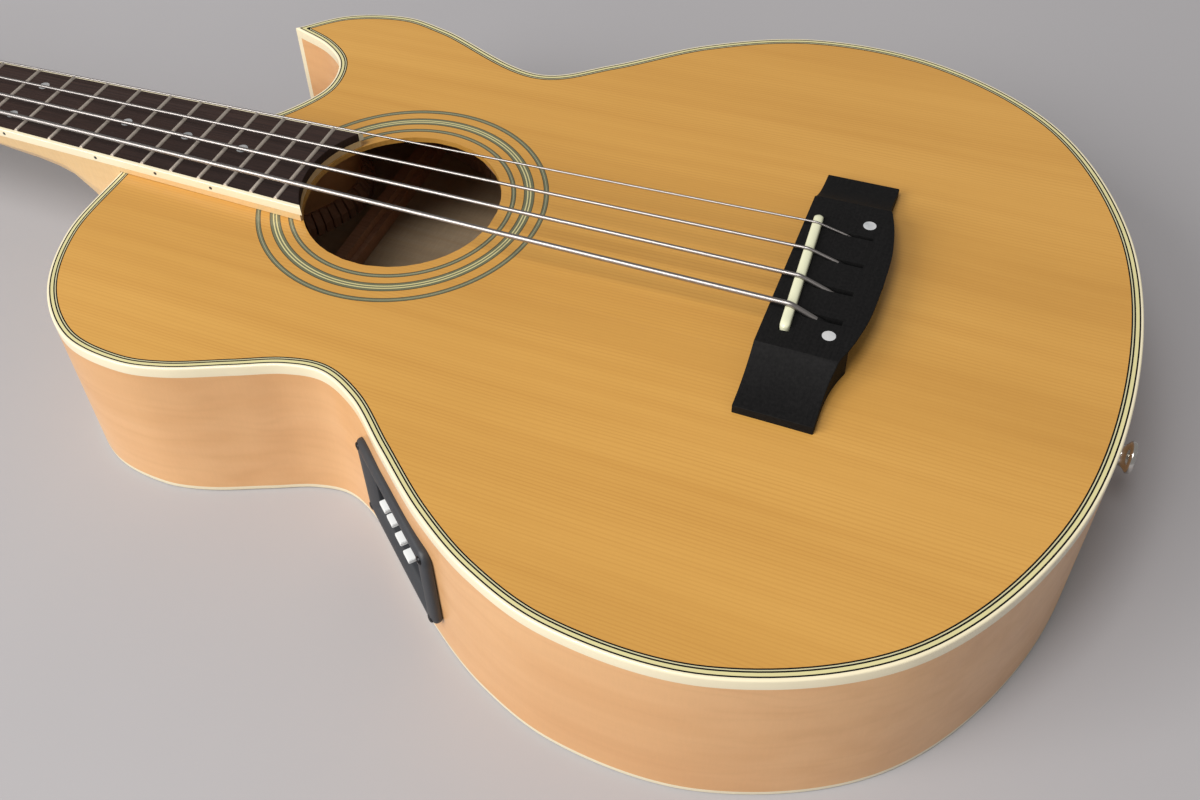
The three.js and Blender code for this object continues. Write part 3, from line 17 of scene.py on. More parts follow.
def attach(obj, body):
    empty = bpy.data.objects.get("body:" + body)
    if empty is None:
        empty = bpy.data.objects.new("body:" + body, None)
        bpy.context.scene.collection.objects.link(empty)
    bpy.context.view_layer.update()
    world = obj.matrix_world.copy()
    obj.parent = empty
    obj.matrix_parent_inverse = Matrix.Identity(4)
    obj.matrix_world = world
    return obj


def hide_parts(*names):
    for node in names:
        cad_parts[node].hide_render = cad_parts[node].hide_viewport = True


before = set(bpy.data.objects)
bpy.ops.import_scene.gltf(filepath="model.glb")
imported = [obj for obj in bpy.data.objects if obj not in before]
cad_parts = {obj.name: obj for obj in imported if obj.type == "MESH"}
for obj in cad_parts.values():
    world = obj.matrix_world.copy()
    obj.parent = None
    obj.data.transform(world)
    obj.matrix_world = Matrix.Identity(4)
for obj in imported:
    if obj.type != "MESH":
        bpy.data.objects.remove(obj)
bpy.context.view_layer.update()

MM = 0.001
# Points nearer than these are one: metres in a mesh, millimetres on an outline
SAME_PLACE = 1e-7
NEAREST = 0.02
SHARP_ANGLE = math.radians(32)
SOLID_SHARP_ANGLE = math.radians(35)
SOFT_EDGE_ANGLE = math.radians(40)
BODY = "body_and_neck"

# Sizes of the real instrument, as in its solids
SCALE_LENGTH = 864
FRETS = 21
NUT_X = -663.3
NUT_THICKNESS = 5
BODY_LENGTH = 510
NECK_END_X = -158
HALF_BOUT = 207
DEPTH = 92
TOP_THICKNESS = 3
BACK_THICKNESS = 3
SIDE_THICKNESS = 2.5
HOLE_RADIUS = 51.7
ARCH_HEIGHT = 3
ARCH_MIDDLE = 200
ARCH_HALF_LENGTH = 140
ARCH_HALF_WIDTH = 180
BOARD_THICKNESS = 4.9
BOARD_RISE = 9.55
NECK_ANGLE = math.radians(0.46)
HEAD_ANGLE = math.radians(13)
HEAD_DROP = 3
BOARD_HALF_AT_NUT = 17.4
BOARD_HALF_AT_LAST = 31.0
BOARD_BINDING = 2
BOARD_END_RADIUS = 52.0

RIM_SHARES = [
    (0, -0.145), (0.005, -0.393), (0.04, -0.5844), (0.098, -0.7017), (0.165, -0.7271), (0.21, -0.7064),
    (0.27, -0.6451), (0.315, -0.5981), (0.35, -0.5875), (0.39, -0.6301), (0.44, -0.7318), (0.5, -0.8491),
    (0.56, -0.9346), (0.635, -0.9915), (0.757, -0.9774), (0.888, -0.8023), (0.973, -0.451), (1, 0),
    (0.973, 0.451), (0.888, 0.799), (0.757, 0.977), (0.625, 0.989), (0.517, 0.877), (0.429, 0.708),
    (0.36, 0.605), (0.219, 0.725), (0.16, 0.754), (0.089, 0.708), (0.039, 0.601),
]
CUTAWAY_SHARES = [
    (0.039, 0.601), (0.095, 0.547), (0.127, 0.478), (0.138, 0.377), (0.129, 0.296),
    (0.096, 0.183), (0.067, 0.165), (0, 0.164),
]

# Bands of purfling between the top's wood and its edge, as distances in from the edge
EDGE_BANDS = [
    ("purfling_outer_line", 1.35, 2.03, "dark_line"),
    ("purfling_pale_strip", 2.03, 3.42, "pale_line"),
    ("purfling_middle_line", 3.42, 4.12, "dark_line"),
    ("purfling_fine_strip", 4.12, 4.6, "edge_fine_line"),
    ("purfling_inner_line", 4.6, 5.25, "dark_line"),
]
BINDING_WIDTH = EDGE_BANDS[0][1]
WOOD_INSET = EDGE_BANDS[-1][2]

# Heights of the sides' upper edge and of the undersides of the edge's bands and the rings
SIDE_TOP = 86
BAND_FLOOR = 90
RING_FLOOR = 91

# How far an inlay stands over what it lies in, and the room round what a cutter clears
FLUSH = 0.02
CLEARANCE = 0.3

# Rings round the soundhole: each ring's radii, and the bands between them from the inside out
FIVE_BANDS = ("first_line", "green_inside", "fine_line", "green_outside", "last_line")
SEVEN_BANDS = (
    "first_line", "green_inside", "pale_inside", "green_centre",
    "pale_outside", "green_outside", "last_line",
)
ROSETTE_RINGS = [
    ("inner_ring", (56.8, 57.15, 57.9, 58.15, 58.95, 59.3), FIVE_BANDS),
    ("middle_ring", (63.3, 63.65, 64.95, 65.6, 66.45, 67.1, 68.45, 68.8), SEVEN_BANDS),
    ("outer_ring", (73.5, 73.85, 74.7, 74.95, 75.85, 76.2), FIVE_BANDS),
]
BAND_FINISHES = {
    "first": "ring_edge", "last": "ring_edge",
    "green": "ring_green", "pale": "ring_pale", "fine": "fine_line",
}


# --- shaders ---------------------------------------------------------------------------


def add_node(tree, kind, **values):
    """A node of that kind, with its properties set and its numbered or named inputs filled."""
    made = tree.nodes.new(kind)
    for key, value in values.items():
        if key.startswith("in_"):
            made.inputs[key[3:].replace("_", " ")].default_value = value
        else:
            setattr(made, key, value)
    return made


def math_node(tree, operation, first, second=None, third=None):
    """A maths node; each operand is a number or a socket."""
    made = add_node(tree, "ShaderNodeMath", operation=operation)
    for place, operand in enumerate((first, second, third)):
        if operand is None:
            continue
        if isinstance(operand, (int, float)):
            made.inputs[place].default_value = operand
        else:
            tree.links.new(operand, made.inputs[place])
    return made.outputs[0]


def ramp_node(tree, value, stops):
    """A colour ramp through stops of (place, colour)."""
    made = add_node(tree, "ShaderNodeValToRGB")
    band = made.color_ramp
    while len(band.elements) < len(stops):
        band.elements.new(0.5)
    for element, (place, colour) in zip(band.elements, stops):
        element.position = place
        element.color = (*colour, 1)
    tree.links.new(value, made.inputs[0])
    return made.outputs[0]


def mix_colours(tree, share, first, second, blend="MIX"):
    """Two colours mixed by a share, each a socket or a plain colour."""
    made = add_node(tree, "ShaderNodeMix", data_type="RGBA", blend_type=blend)
    for place, operand in ((0, share), (6, first), (7, second)):
        if isinstance(operand, (int, float)):
            made.inputs[place].default_value = operand
        elif isinstance(operand, tuple):
            made.inputs[place].default_value = (*operand, 1)
        else:
            tree.links.new(operand, made.inputs[place])
    return made.outputs[2]


def new_group(name, inputs, outputs):
    """An empty shader group with float or vector inputs and float outputs."""
    group = bpy.data.node_groups.new(name, "ShaderNodeTree")
    for label, kind, value in inputs:
        socket = group.interface.new_socket(label, in_out="INPUT", socket_type=kind)
        if value is not None:
            socket.default_value = value
    for label in outputs:
        group.interface.new_socket(label, in_out="OUTPUT", socket_type="NodeSocketFloat")
    start = group.nodes.new("NodeGroupInput")
    end = group.nodes.new("NodeGroupOutput")
    return group, start, end


def stretched_noise(tree, vector, scale, detail=3.0, roughness=0.55):
    """Noise whose size along each axis is set by scale, in repeats a metre."""
    place = add_node(tree, "ShaderNodeMapping")
    place.inputs["Scale"].default_value = scale
    tree.links.new(vector, place.inputs["Vector"])
    made = add_node(tree, "ShaderNodeTexNoise", in_Scale=1.0, in_Detail=detail)
    made.inputs["Roughness"].default_value = roughness
    tree.links.new(place.outputs[0], made.inputs["Vector"])
    return made.outputs["Fac"]


def grain_group():
    """Growth lines, fibre, silk and broad patches, in a space whose X runs along the grain."""
    group, start, end = new_group(
        "wood grain",
        [
            ("Space", "NodeSocketVector", None),
            ("Line Spacing", "NodeSocketFloat", 0.0013),
            ("Wander", "NodeSocketFloat", 3.0),
        ],
        ["Lines", "Fibre", "Silk", "Patches", "Streaks"],
    )
    space = start.outputs["Space"]
    split = add_node(group, "ShaderNodeSeparateXYZ")
    group.links.new(space, split.inputs[0])
    wander = stretched_noise(group, space, (1.6, 22, 22), 2.0)
    widths = stretched_noise(group, space, (0.4, 60, 60), 1.0)
    turns = math_node(group, "DIVIDE", split.outputs["Y"], start.outputs["Line Spacing"])
    shift = math_node(group, "MULTIPLY", wander, start.outputs["Wander"])
    phase = math_node(group, "ADD", turns, shift)
    phase = math_node(group, "ADD", phase, math_node(group, "MULTIPLY", widths, 2.2))
    wave = math_node(group, "SINE", math_node(group, "MULTIPLY", phase, 2 * math.pi))
    level = math_node(group, "MULTIPLY_ADD", wave, 0.5, 0.5)
    lines = math_node(group, "POWER", level, 2.6)
    strength = stretched_noise(group, space, (3, 90, 90), 2.0)
    strength = math_node(group, "MULTIPLY_ADD", strength, 1.5, -0.2)
    group.links.new(math_node(group, "MULTIPLY", lines, strength), end.inputs["Lines"])
    for label, scale, detail, roughness in (
        ("Fibre", (45, 2200, 2200), 4.0, 0.65),
        ("Silk", (900, 130, 130), 3.0, 0.6),
        ("Patches", (2.2, 13, 13), 3.0, 0.5),
        ("Streaks", (1.3, 85, 85), 2.0, 0.5),
    ):
        group.links.new(stretched_noise(group, space, scale, detail, roughness), end.inputs[label])
    return group


def wear_group():
    """Smudges, fine specks and a rubbed mask on raised edges."""
    group, start, end = new_group(
        "handling wear",
        [("Size", "NodeSocketFloat", 1.0), ("Edge Level", "NodeSocketFloat", 0.53)],
        ["Smudges", "Specks", "Edges"],
    )
    place = add_node(group, "ShaderNodeTexCoord")
    scaled = add_node(group, "ShaderNodeVectorMath", operation="SCALE")
    group.links.new(place.outputs["Object"], scaled.inputs[0])
    group.links.new(start.outputs["Size"], scaled.inputs["Scale"])
    group.links.new(stretched_noise(group, scaled.outputs[0], (28, 28, 28), 5.0), end.inputs["Smudges"])
    group.links.new(stretched_noise(group, scaled.outputs[0], (700, 700, 700), 2.0), end.inputs["Specks"])
    shape = add_node(group, "ShaderNodeNewGeometry")
    over = math_node(group, "SUBTRACT", shape.outputs["Pointiness"], start.outputs["Edge Level"])
    rubbed = stretched_noise(group, scaled.outputs[0], (220, 220, 220), 4.0)
    raised = math_node(group, "MULTIPLY", over, 14.0)
    mask = add_node(group, "ShaderNodeClamp")
    group.links.new(math_node(group, "MULTIPLY", raised, rubbed), mask.inputs[0])
    group.links.new(mask.outputs[0], end.inputs["Edges"])
    return group


GRAIN = grain_group()
WEAR = wear_group()
MATERIALS = {}


def start_material(name, roughness, metallic=0.0, coat=0.0, coat_roughness=0.08, shine=0.5):
    """A material with a Principled shader, remembered by its name."""
    made = bpy.data.materials.new(name)
    made.use_nodes = True
    shader = made.node_tree.nodes["Principled BSDF"]
    shader.inputs["Roughness"].default_value = roughness
    shader.inputs["Metallic"].default_value = metallic
    shader.inputs["Coat Weight"].default_value = coat
    shader.inputs["Coat Roughness"].default_value = coat_roughness
    shader.inputs["Specular IOR Level"].default_value = shine
    MATERIALS[name] = made
    return made.node_tree, shader


def grain_space(tree, along, across, depth, mirror=False):
    """Object coordinates turned so that X runs along the grain and Y across it."""
    place = add_node(tree, "ShaderNodeTexCoord")
    split = add_node(tree, "ShaderNodeSeparateXYZ")
    tree.links.new(place.outputs["Object"], split.inputs[0])
    joined = add_node(tree, "ShaderNodeCombineXYZ")
    across_socket = split.outputs[across]
    if mirror:
        across_socket = math_node(tree, "ABSOLUTE", across_socket)
    tree.links.new(split.outputs[along], joined.inputs["X"])
    tree.links.new(across_socket, joined.inputs["Y"])
    tree.links.new(split.outputs[depth], joined.inputs["Z"])
    return joined.outputs[0]


def place_grain(tree, space, spacing, wander):
    """The grain group, set for one wood."""
    grain = add_node(tree, "ShaderNodeGroup", node_tree=GRAIN)
    tree.links.new(space, grain.inputs["Space"])
    grain.inputs["Line Spacing"].default_value = spacing
    grain.inputs["Wander"].default_value = wander
    return grain


def place_wear(tree, size=1.0, edge_level=0.53):
    """The wear group, set for one finish."""
    wear = add_node(tree, "ShaderNodeGroup", node_tree=WEAR)
    wear.inputs["Size"].default_value = size
    wear.inputs["Edge Level"].default_value = edge_level
    return wear


def drive_bump(tree, shader, height, distance, strength=1.0):
    """Feeds a height to the shader's normal."""
    bump = add_node(tree, "ShaderNodeBump", in_Strength=strength, in_Distance=distance)
    tree.links.new(height, bump.inputs["Height"])
    tree.links.new(bump.outputs[0], shader.inputs["Normal"])


def drive_surface(tree, shader, colour, wear, roughness, spread):
    """Feeds a colour, and a roughness that smudges spread to both sides of its value."""
    rough = math_node(tree, "MULTIPLY_ADD", wear.outputs["Smudges"], spread, roughness - spread / 2)
    tree.links.new(colour, shader.inputs["Base Color"])
    tree.links.new(rough, shader.inputs["Roughness"])


def wood_material(name, look, space_axes, spacing, wander, finish, mirror=False):
    """A wood: look gives the colours of its patches, lines, fibre and streaks, and each one's share."""
    tree, shader = start_material(name, **finish)
    space = grain_space(tree, *space_axes, mirror=mirror)
    grain = place_grain(tree, space, spacing, wander)
    colour = ramp_node(tree, grain.outputs["Patches"], list(zip((0.25, 0.5, 0.75), look["patches"])))
    lines = math_node(tree, "MULTIPLY", grain.outputs["Lines"], look["line_share"])
    colour = mix_colours(tree, lines, colour, look["line"], "MIX")
    fibre = ramp_node(tree, grain.outputs["Fibre"], [(0.3, look["fibre_dark"]), (0.7, (1, 1, 1))])
    colour = mix_colours(tree, look["fibre_share"], colour, fibre, "MULTIPLY")
    silk = ramp_node(tree, grain.outputs["Silk"], [(0.35, (0.8, 0.8, 0.8)), (0.7, (1.15, 1.13, 1.1))])
    colour = mix_colours(tree, look["silk_share"], colour, silk, "MULTIPLY")
    streaks = ramp_node(tree, grain.outputs["Streaks"], [(0.32, look["streak"]), (0.6, (1.0, 1.0, 1.0))])
    colour = mix_colours(tree, look["streak_share"], colour, streaks, "MULTIPLY")
    drive_surface(tree, shader, colour, place_wear(tree), finish["roughness"], 0.16)
    height = math_node(tree, "ADD", grain.outputs["Fibre"], lines)
    drive_bump(tree, shader, height, look["relief"])


LACQUER = dict(roughness=0.45, coat=0.3, coat_roughness=0.16)
wood_material(
    "spruce_top",
    dict(
        patches=[(0.55, 0.28, 0.054), (0.62, 0.325, 0.067), (0.68, 0.37, 0.084)],
        line=(0.43, 0.185, 0.03), line_share=0.36, streak=(0.90, 0.85, 0.76), streak_share=0.55,
        fibre_dark=(0.86, 0.82, 0.72), fibre_share=0.3, silk_share=0.04, relief=0.000006,
    ),
    ("X", "Y", "Z"), 0.0019, 3.0, LACQUER, mirror=True,
)
MAPLE = dict(
    patches=[(0.68, 0.365, 0.15), (0.74, 0.415, 0.18), (0.79, 0.46, 0.215)],
    line=(0.54, 0.27, 0.10), line_share=0.14, streak=(0.93, 0.88, 0.82), streak_share=0.7,
    fibre_dark=(0.88, 0.82, 0.74), fibre_share=0.2, silk_share=0.07, relief=0.00001,
)
wood_material("maple_side", MAPLE, ("X", "Z", "Y"), 0.009, 5.0, LACQUER)
wood_material("maple_back", MAPLE, ("X", "Y", "Z"), 0.011, 5.0, LACQUER, mirror=True)
wood_material(
    "maple_neck",
    dict(
        patches=[(0.78, 0.54, 0.25), (0.83, 0.60, 0.31), (0.87, 0.66, 0.37)],
        line=(0.56, 0.30, 0.11), line_share=0.14, streak=(0.93, 0.88, 0.82), streak_share=0.6,
        fibre_dark=(0.86, 0.79, 0.68), fibre_share=0.3, silk_share=0.2, relief=0.00001,
    ),
    ("X", "Y", "Z"), 0.008, 4.0, LACQUER,
)
wood_material(
    "rosewood_board",
    dict(
        patches=[(0.036, 0.018, 0.014), (0.052, 0.026, 0.019), (0.076, 0.039, 0.029)],
        line=(0.018, 0.010, 0.010), line_share=0.75, streak=(0.8, 0.75, 0.72), streak_share=0.6,
        fibre_dark=(0.25, 0.22, 0.22), fibre_share=0.75, silk_share=0.1, relief=0.00012,
    ),
    ("X", "Y", "Z"), 0.0021, 6.0, dict(roughness=0.55, coat=0.04, coat_roughness=0.35, shine=0.35),
)
wood_material(
    "inner_wood",
    dict(
        patches=[(0.43, 0.23, 0.135), (0.50, 0.28, 0.17), (0.57, 0.33, 0.21)],
        line=(0.28, 0.13, 0.07), line_share=0.3, streak=(0.85, 0.8, 0.75), streak_share=0.6,
        fibre_dark=(0.72, 0.66, 0.56), fibre_share=0.6, silk_share=0.2, relief=0.00005,
    ),
    ("X", "Y", "Z"), 0.003, 4.0, dict(roughness=0.85),
)
wood_material(
    "inner_back",
    dict(
        patches=[(0.36, 0.27, 0.17), (0.41, 0.31, 0.20), (0.46, 0.36, 0.24)],
        line=(0.42, 0.27, 0.12), line_share=0.2, streak=(0.85, 0.8, 0.75), streak_share=0.6,
        fibre_dark=(0.78, 0.72, 0.62), fibre_share=0.5, silk_share=0.3, relief=0.00004,
    ),
    ("X", "Y", "Z"), 0.006, 4.0, dict(roughness=0.8),
)


def black_wood_material():
    """Black stained wood of the bridge, dusty in its pores."""
    tree, shader = start_material("black_bridge", 0.6, shine=0.1)
    space = grain_space(tree, "Y", "X", "Z")
    grain = place_grain(tree, space, 0.0016, 3.0)
    stops = [(0.35, (0.0015, 0.0015, 0.0018)), (0.72, (0.0045, 0.0042, 0.0045))]
    colour = ramp_node(tree, grain.outputs["Fibre"], stops)
    wear = place_wear(tree, 1.0, 0.56)
    dust = math_node(tree, "MULTIPLY", wear.outputs["Specks"], 0.02)
    colour = mix_colours(tree, dust, colour, (0.5, 0.48, 0.45))
    drive_surface(tree, shader, colour, wear, 0.65, 0.3)
    drive_bump(tree, shader, grain.outputs["Fibre"], 0.00006)


def plain_material(name, colour, roughness, variation, bump=0.0, size=1.0, **finish):
    """A moulded or inlaid finish: one colour that smudges and specks vary a little."""
    tree, shader = start_material(name, roughness, **finish)
    wear = place_wear(tree, size)
    darker = tuple(channel * (1 - variation) for channel in colour)
    paler = tuple(min(1.0, channel * (1 + variation)) for channel in colour)
    shade = ramp_node(tree, wear.outputs["Smudges"], [(0.3, darker), (0.7, paler)])
    drive_surface(tree, shader, shade, wear, roughness, 0.14)
    if bump:
        drive_bump(tree, shader, wear.outputs["Specks"], bump)


def winding_material():
    """Round winding of a bass string: fine rings along it, dulled by hands, with painted shade in the grooves
    between the turns.
    """
    tree, shader = start_material("string_winding", 0.36, metallic=1.0)
    place = add_node(tree, "ShaderNodeTexCoord")
    split = add_node(tree, "ShaderNodeSeparateXYZ")
    tree.links.new(place.outputs["Object"], split.inputs[0])
    turns = math_node(tree, "MULTIPLY", split.outputs["X"], 2 * math.pi / 0.00045)
    slope = math_node(tree, "MULTIPLY", split.outputs["Y"], 1200.0)
    wave = math_node(tree, "SINE", math_node(tree, "ADD", turns, slope))
    level = math_node(tree, "MULTIPLY_ADD", wave, 0.5, 0.5)
    # Darker colour at the low point of each turn: painted shade in the groove between turns
    stops = [(0.0, (0.22, 0.205, 0.19)), (0.55, (0.35, 0.325, 0.31)), (1.0, (0.42, 0.39, 0.375))]
    colour = ramp_node(tree, level, stops)
    tree.links.new(colour, shader.inputs["Base Color"])
    drive_bump(tree, shader, level, 0.00003, 0.5)


def pearl_material(name, level):
    """Pearly dot: a pale sheen with cloudy patches, dimmer where it is worn."""
    tree, shader = start_material(name, 0.25, coat=0.3)
    wear = place_wear(tree, 6.0)
    stops = [(0.3, (0.70, 0.74, 0.76)), (0.5, (0.96, 0.97, 0.97)), (0.7, (1.06, 1.04, 1.02))]
    shades = [(place, tuple(min(1.0, channel * level) for channel in colour)) for place, colour in stops]
    tree.links.new(ramp_node(tree, wear.outputs["Smudges"], shades), shader.inputs["Base Color"])


black_wood_material()
winding_material()
pearl_material("bridge_pearl", 0.56)
# The board's dots use the same pearl at a lower level: painted shade on them
pearl_material("board_pearl_painted_shade", 0.36)
INLAY = dict(coat=0.5, coat_roughness=0.1)
for name, colour, roughness, variation, finish in (
    # End grain of the soundhole's wall, made darker still as painted shade on that wall
    ("spruce_end", (0.24, 0.10, 0.03), 0.6, 0.15, dict(size=3.0)),
    ("cream_binding", (0.85, 0.76, 0.53), 0.35, 0.03, INLAY),
    ("dark_line", (0.003, 0.003, 0.003), 0.5, 0.1, dict(shine=0.2)),
    ("fine_line", (0.40, 0.38, 0.25), 0.4, 0.06, INLAY),
    ("pale_line", (0.68, 0.62, 0.31), 0.4, 0.04, INLAY),
    ("edge_fine_line", (0.60, 0.56, 0.34), 0.4, 0.04, INLAY),
    ("ring_edge", (0.035, 0.03, 0.014), 0.4, 0.1, INLAY),
    ("ring_green", (0.135, 0.14, 0.075), 0.4, 0.08, INLAY),
    ("ring_pale", (0.62, 0.55, 0.26), 0.4, 0.05, INLAY),
    ("saddle_bone", (0.74, 0.74, 0.52), 0.42, 0.06, dict(coat=0.15)),
    ("nickel_plate", (0.66, 0.64, 0.60), 0.2, 0.04, dict(metallic=1.0)),
    ("fret_metal", (0.64, 0.56, 0.48), 0.45, 0.08, dict(metallic=0.75)),
    ("rod_steel", (0.42, 0.42, 0.42), 0.4, 0.1, dict(metallic=1.0)),
    ("black_plastic", (0.030, 0.033, 0.038), 0.5, 0.12, dict(bump=0.00003)),
    ("screw_black", (0.02, 0.02, 0.022), 0.32, 0.1, dict(metallic=0.6)),
    ("black_recess", (0.006, 0.006, 0.007), 0.6, 0.1, {}),
    ("white_cap", (0.76, 0.77, 0.76), 0.38, 0.03, {}),
    ("side_dot_black", (0.02, 0.02, 0.02), 0.4, 0.05, {}),
    ("head_black", (0.012, 0.012, 0.013), 0.3, 0.1, dict(coat=0.6, coat_roughness=0.08)),
):
    plain_material(name, colour, roughness, variation, **finish)


# --- outline and meshes ----------------------------------------------------------------


def centripetal(points, steps):
    """Points along a centripetal curve through points, steps of them to each stretch."""
    points = [np.array(p, float) for p in points]
    ends = [2 * points[0] - points[1], *points, 2 * points[-1] - points[-2]]
    made = []
    for i in range(1, len(ends) - 2):
        a, b, c, d = ends[i - 1 : i + 3]
        gaps = [max(np.linalg.norm(q - p), 1e-6) ** 0.5 for p, q in ((a, b), (b, c), (c, d))]
        first = (b - a) / gaps[0] - (c - a) / (gaps[0] + gaps[1]) + (c - b) / gaps[1]
        last = (c - b) / gaps[1] - (d - b) / (gaps[1] + gaps[2]) + (d - c) / gaps[2]
        first, last = first * gaps[1], last * gaps[1]
        for step in range(steps):
            t = step / steps
            made.append(
                b + first * t
                + (3 * (c - b) - 2 * first - last) * t**2
                + (2 * (b - c) + first + last) * t**3
            )
    made.append(points[-1])
    return np.array(made)


def on_body(shares):
    """Shares of the body's length and half width as places."""
    return [(NECK_END_X + along * BODY_LENGTH, across * HALF_BOUT) for along, across in shares]


RIM = centripetal(on_body(RIM_SHARES), 16)
CUTAWAY = centripetal(on_body(CUTAWAY_SHARES), 14)
NECK_SEAT = np.linspace(CUTAWAY[-1], RIM[0], 8)[1:-1]
OUTLINE = np.vstack([RIM, CUTAWAY[1:], NECK_SEAT])
TIP = len(RIM) - 1


def distances(points, outline):
    """How far each point is from a closed outline."""
    start = outline
    run = np.roll(outline, -1, 0) - outline
    share = ((points[:, None] - start[None]) * run[None]).sum(2) / np.maximum((run**2).sum(1), 1e-9)
    near = start[None] + np.clip(share, 0, 1)[..., None] * run[None]
    return np.linalg.norm(points[:, None] - near, axis=2).min(1)


def inset(outline, distance):
    """The outline moved inwards with as many points; those past a corner gather at it."""
    arriving = outline - np.roll(outline, 1, 0)
    leaving = np.roll(outline, -1, 0) - outline
    arriving /= np.linalg.norm(arriving, axis=1)[:, None]
    leaving /= np.linalg.norm(leaving, axis=1)[:, None]
    both = arriving + leaving
    inward = np.c_[-both[:, 1], both[:, 0]]
    inward /= np.linalg.norm(inward, axis=1)[:, None]
    reach = (inward * np.c_[-arriving[:, 1], arriving[:, 0]]).sum(1)
    moved = outline + inward * (distance / reach)[:, None]
    if distance <= 0:
        return moved
    good = np.where(distances(moved, outline) > distance * 0.985)[0]
    for i in range(len(moved)):
        if i not in good:
            around = np.minimum(abs(good - i), len(moved) - abs(good - i))
            moved[i] = moved[good[around.argmin()]]
    return moved


def arch(x, y):
    """Height of the top's arch over its flat rim."""
    radius = ((x - ARCH_MIDDLE) / ARCH_HALF_LENGTH) ** 2 + (y / ARCH_HALF_WIDTH) ** 2
    return ARCH_HEIGHT * np.clip(1 - radius, 0, None) ** 2


def mesh_object(name, points, faces, merge=False):
    """A mesh object from points in millimetres, with its faces turned out."""
    mesh = bpy.data.meshes.new(name)
    mesh.from_pydata([tuple(float(c) * MM for c in p) for p in points], [], faces)
    shape = bmesh.new()
    shape.from_mesh(mesh)
    if merge:
        bmesh.ops.remove_doubles(shape, verts=shape.verts, dist=SAME_PLACE)
    bmesh.ops.recalc_face_normals(shape, faces=shape.faces)
    shape.to_mesh(mesh)
    shape.free()
    made = bpy.data.objects.new(name, mesh)
    bpy.context.scene.collection.objects.link(made)
    return made


def make_piece(name, points, faces, material, smooth=True, body=BODY, stands_for=(), slot=None):
    """A piece of the guitar, riding on its body."""
    made = mesh_object(name, points, faces, merge=True)
    mesh = made.data
    mesh.validate()
    mesh.materials.append(MATERIALS[material])
    if smooth:
        for face in mesh.polygons:
            face.use_smooth = True
        mesh.set_sharp_from_angle(angle=SHARP_ANGLE)
    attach(made, body)
    if stands_for:
        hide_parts(*stands_for)
    return made


def loft(rows, closed_rows=True, closed_profile=False, capped=False):
    """Points and faces that join rows with the same number of points."""
    count = len(rows[0])
    points = [p for row in rows for p in row]
    faces = []
    last = len(rows) if closed_profile else len(rows) - 1
    for i in range(last):
        above, below = i * count, ((i + 1) % len(rows)) * count
        for j in range(count if closed_rows else count - 1):
            k = (j + 1) % count
            faces.append((above + j, above + k, below + k, below + j))
    if capped:
        faces.append(tuple(range(count))[::-1])
        faces.append(tuple(range((len(rows) - 1) * count, len(rows) * count)))
    return points, faces


def gather(parts):
    """Points and faces of several shapes as one."""
    points, faces = [], []
    for spots, skin in parts:
        first = len(points)
        points += list(spots)
        faces += [tuple(first + i for i in face) for face in skin]
    return points, faces


def edge_rows(profile):
    """Rows round the body for a profile of (distance in from the edge, height)."""
    return [np.c_[inset(OUTLINE, d) if d else OUTLINE, np.full(len(OUTLINE), z)] for d, z in profile]


def edge_ring(name, profile, material, **options):
    """A closed ring round the body with that profile."""
    points, faces = loft(edge_rows(profile), closed_profile=True)
    return make_piece(name, points, faces, material, **options)


def circle_row(radius, z, sides=96, middle=(0.0, 0.0)):
    """A round row at a height."""
    turn = np.linspace(0, 2 * math.pi, sides, endpoint=False)
    return np.c_[middle[0] + radius * np.cos(turn), middle[1] + radius * np.sin(turn), np.full(sides, z)]


def flat_mesh(outer, hole_radius=None, spacing=9.0, extra_edges=()):
    """Triangles that fill an outline, with inner points on a grid, and an optional round hole."""
    rings = [np.asarray(outer)[:, :2]]
    if hole_radius:
        rings.append(circle_row(hole_radius, 0)[:, :2])
    points, edges = [], []
    for ring in rings:
        keep = [p for i, p in enumerate(ring) if np.linalg.norm(p - ring[i - 1]) > NEAREST]
        first = len(points)
        points += keep
        edges += [(first + i, first + (i + 1) % len(keep)) for i in range(len(keep))]
    for line in extra_edges:
        first = len(points)
        points += [np.array(p, float) for p in line]
        edges += [(first + i, first + i + 1) for i in range(len(line) - 1)]
    low, high = rings[0].min(0), rings[0].max(0)
    xs, ys = np.meshgrid(np.arange(low[0], high[0], spacing), np.arange(low[1], high[1], spacing))
    grid = np.c_[xs.ravel(), ys.ravel()]
    clear = distances(grid, rings[0]) > spacing * 0.45
    if hole_radius:
        clear &= np.hypot(*grid.T) > hole_radius + spacing * 0.45
    points += list(grid[clear])
    result = delaunay_2d_cdt([Vector(p) for p in points], edges, [], 1, 1e-4)
    spots = np.array([tuple(v) for v in result[0]])
    faces = [tuple(f) for f in result[2]]
    if hole_radius:
        faces = [f for f in faces if np.hypot(*spots[list(f)].mean(0)) > hole_radius * 0.995]
    return spots, faces


def rim_loops(faces):
    """Edges that only one face has."""
    seen = {}
    for face in faces:
        for a, b in zip(face, face[1:] + face[:1]):
            key = (min(a, b), max(a, b))
            seen[key] = None if key in seen else (a, b)
    return [edge for edge in seen.values() if edge]


def thick_plate(name, outer, low, high, material, hole_radius=None, spacing=9.0, **options):
    """A plate between two height functions of x and y, closed at its edges."""
    spots, faces = flat_mesh(outer, hole_radius, spacing, options.pop("extra_edges", ()))
    count = len(spots)
    top = np.c_[spots, high(spots[:, 0], spots[:, 1])]
    bottom = np.c_[spots, low(spots[:, 0], spots[:, 1])]
    every = list(faces) + [tuple(i + count for i in f[::-1]) for f in faces]
    every += [(a, b, b + count, a + count) for a, b in rim_loops(faces)]
    return make_piece(name, np.vstack([top, bottom]), every, material, **options)


def level(height):
    """A height function that is the same all over."""
    return lambda x, y: np.full(len(x), float(height))


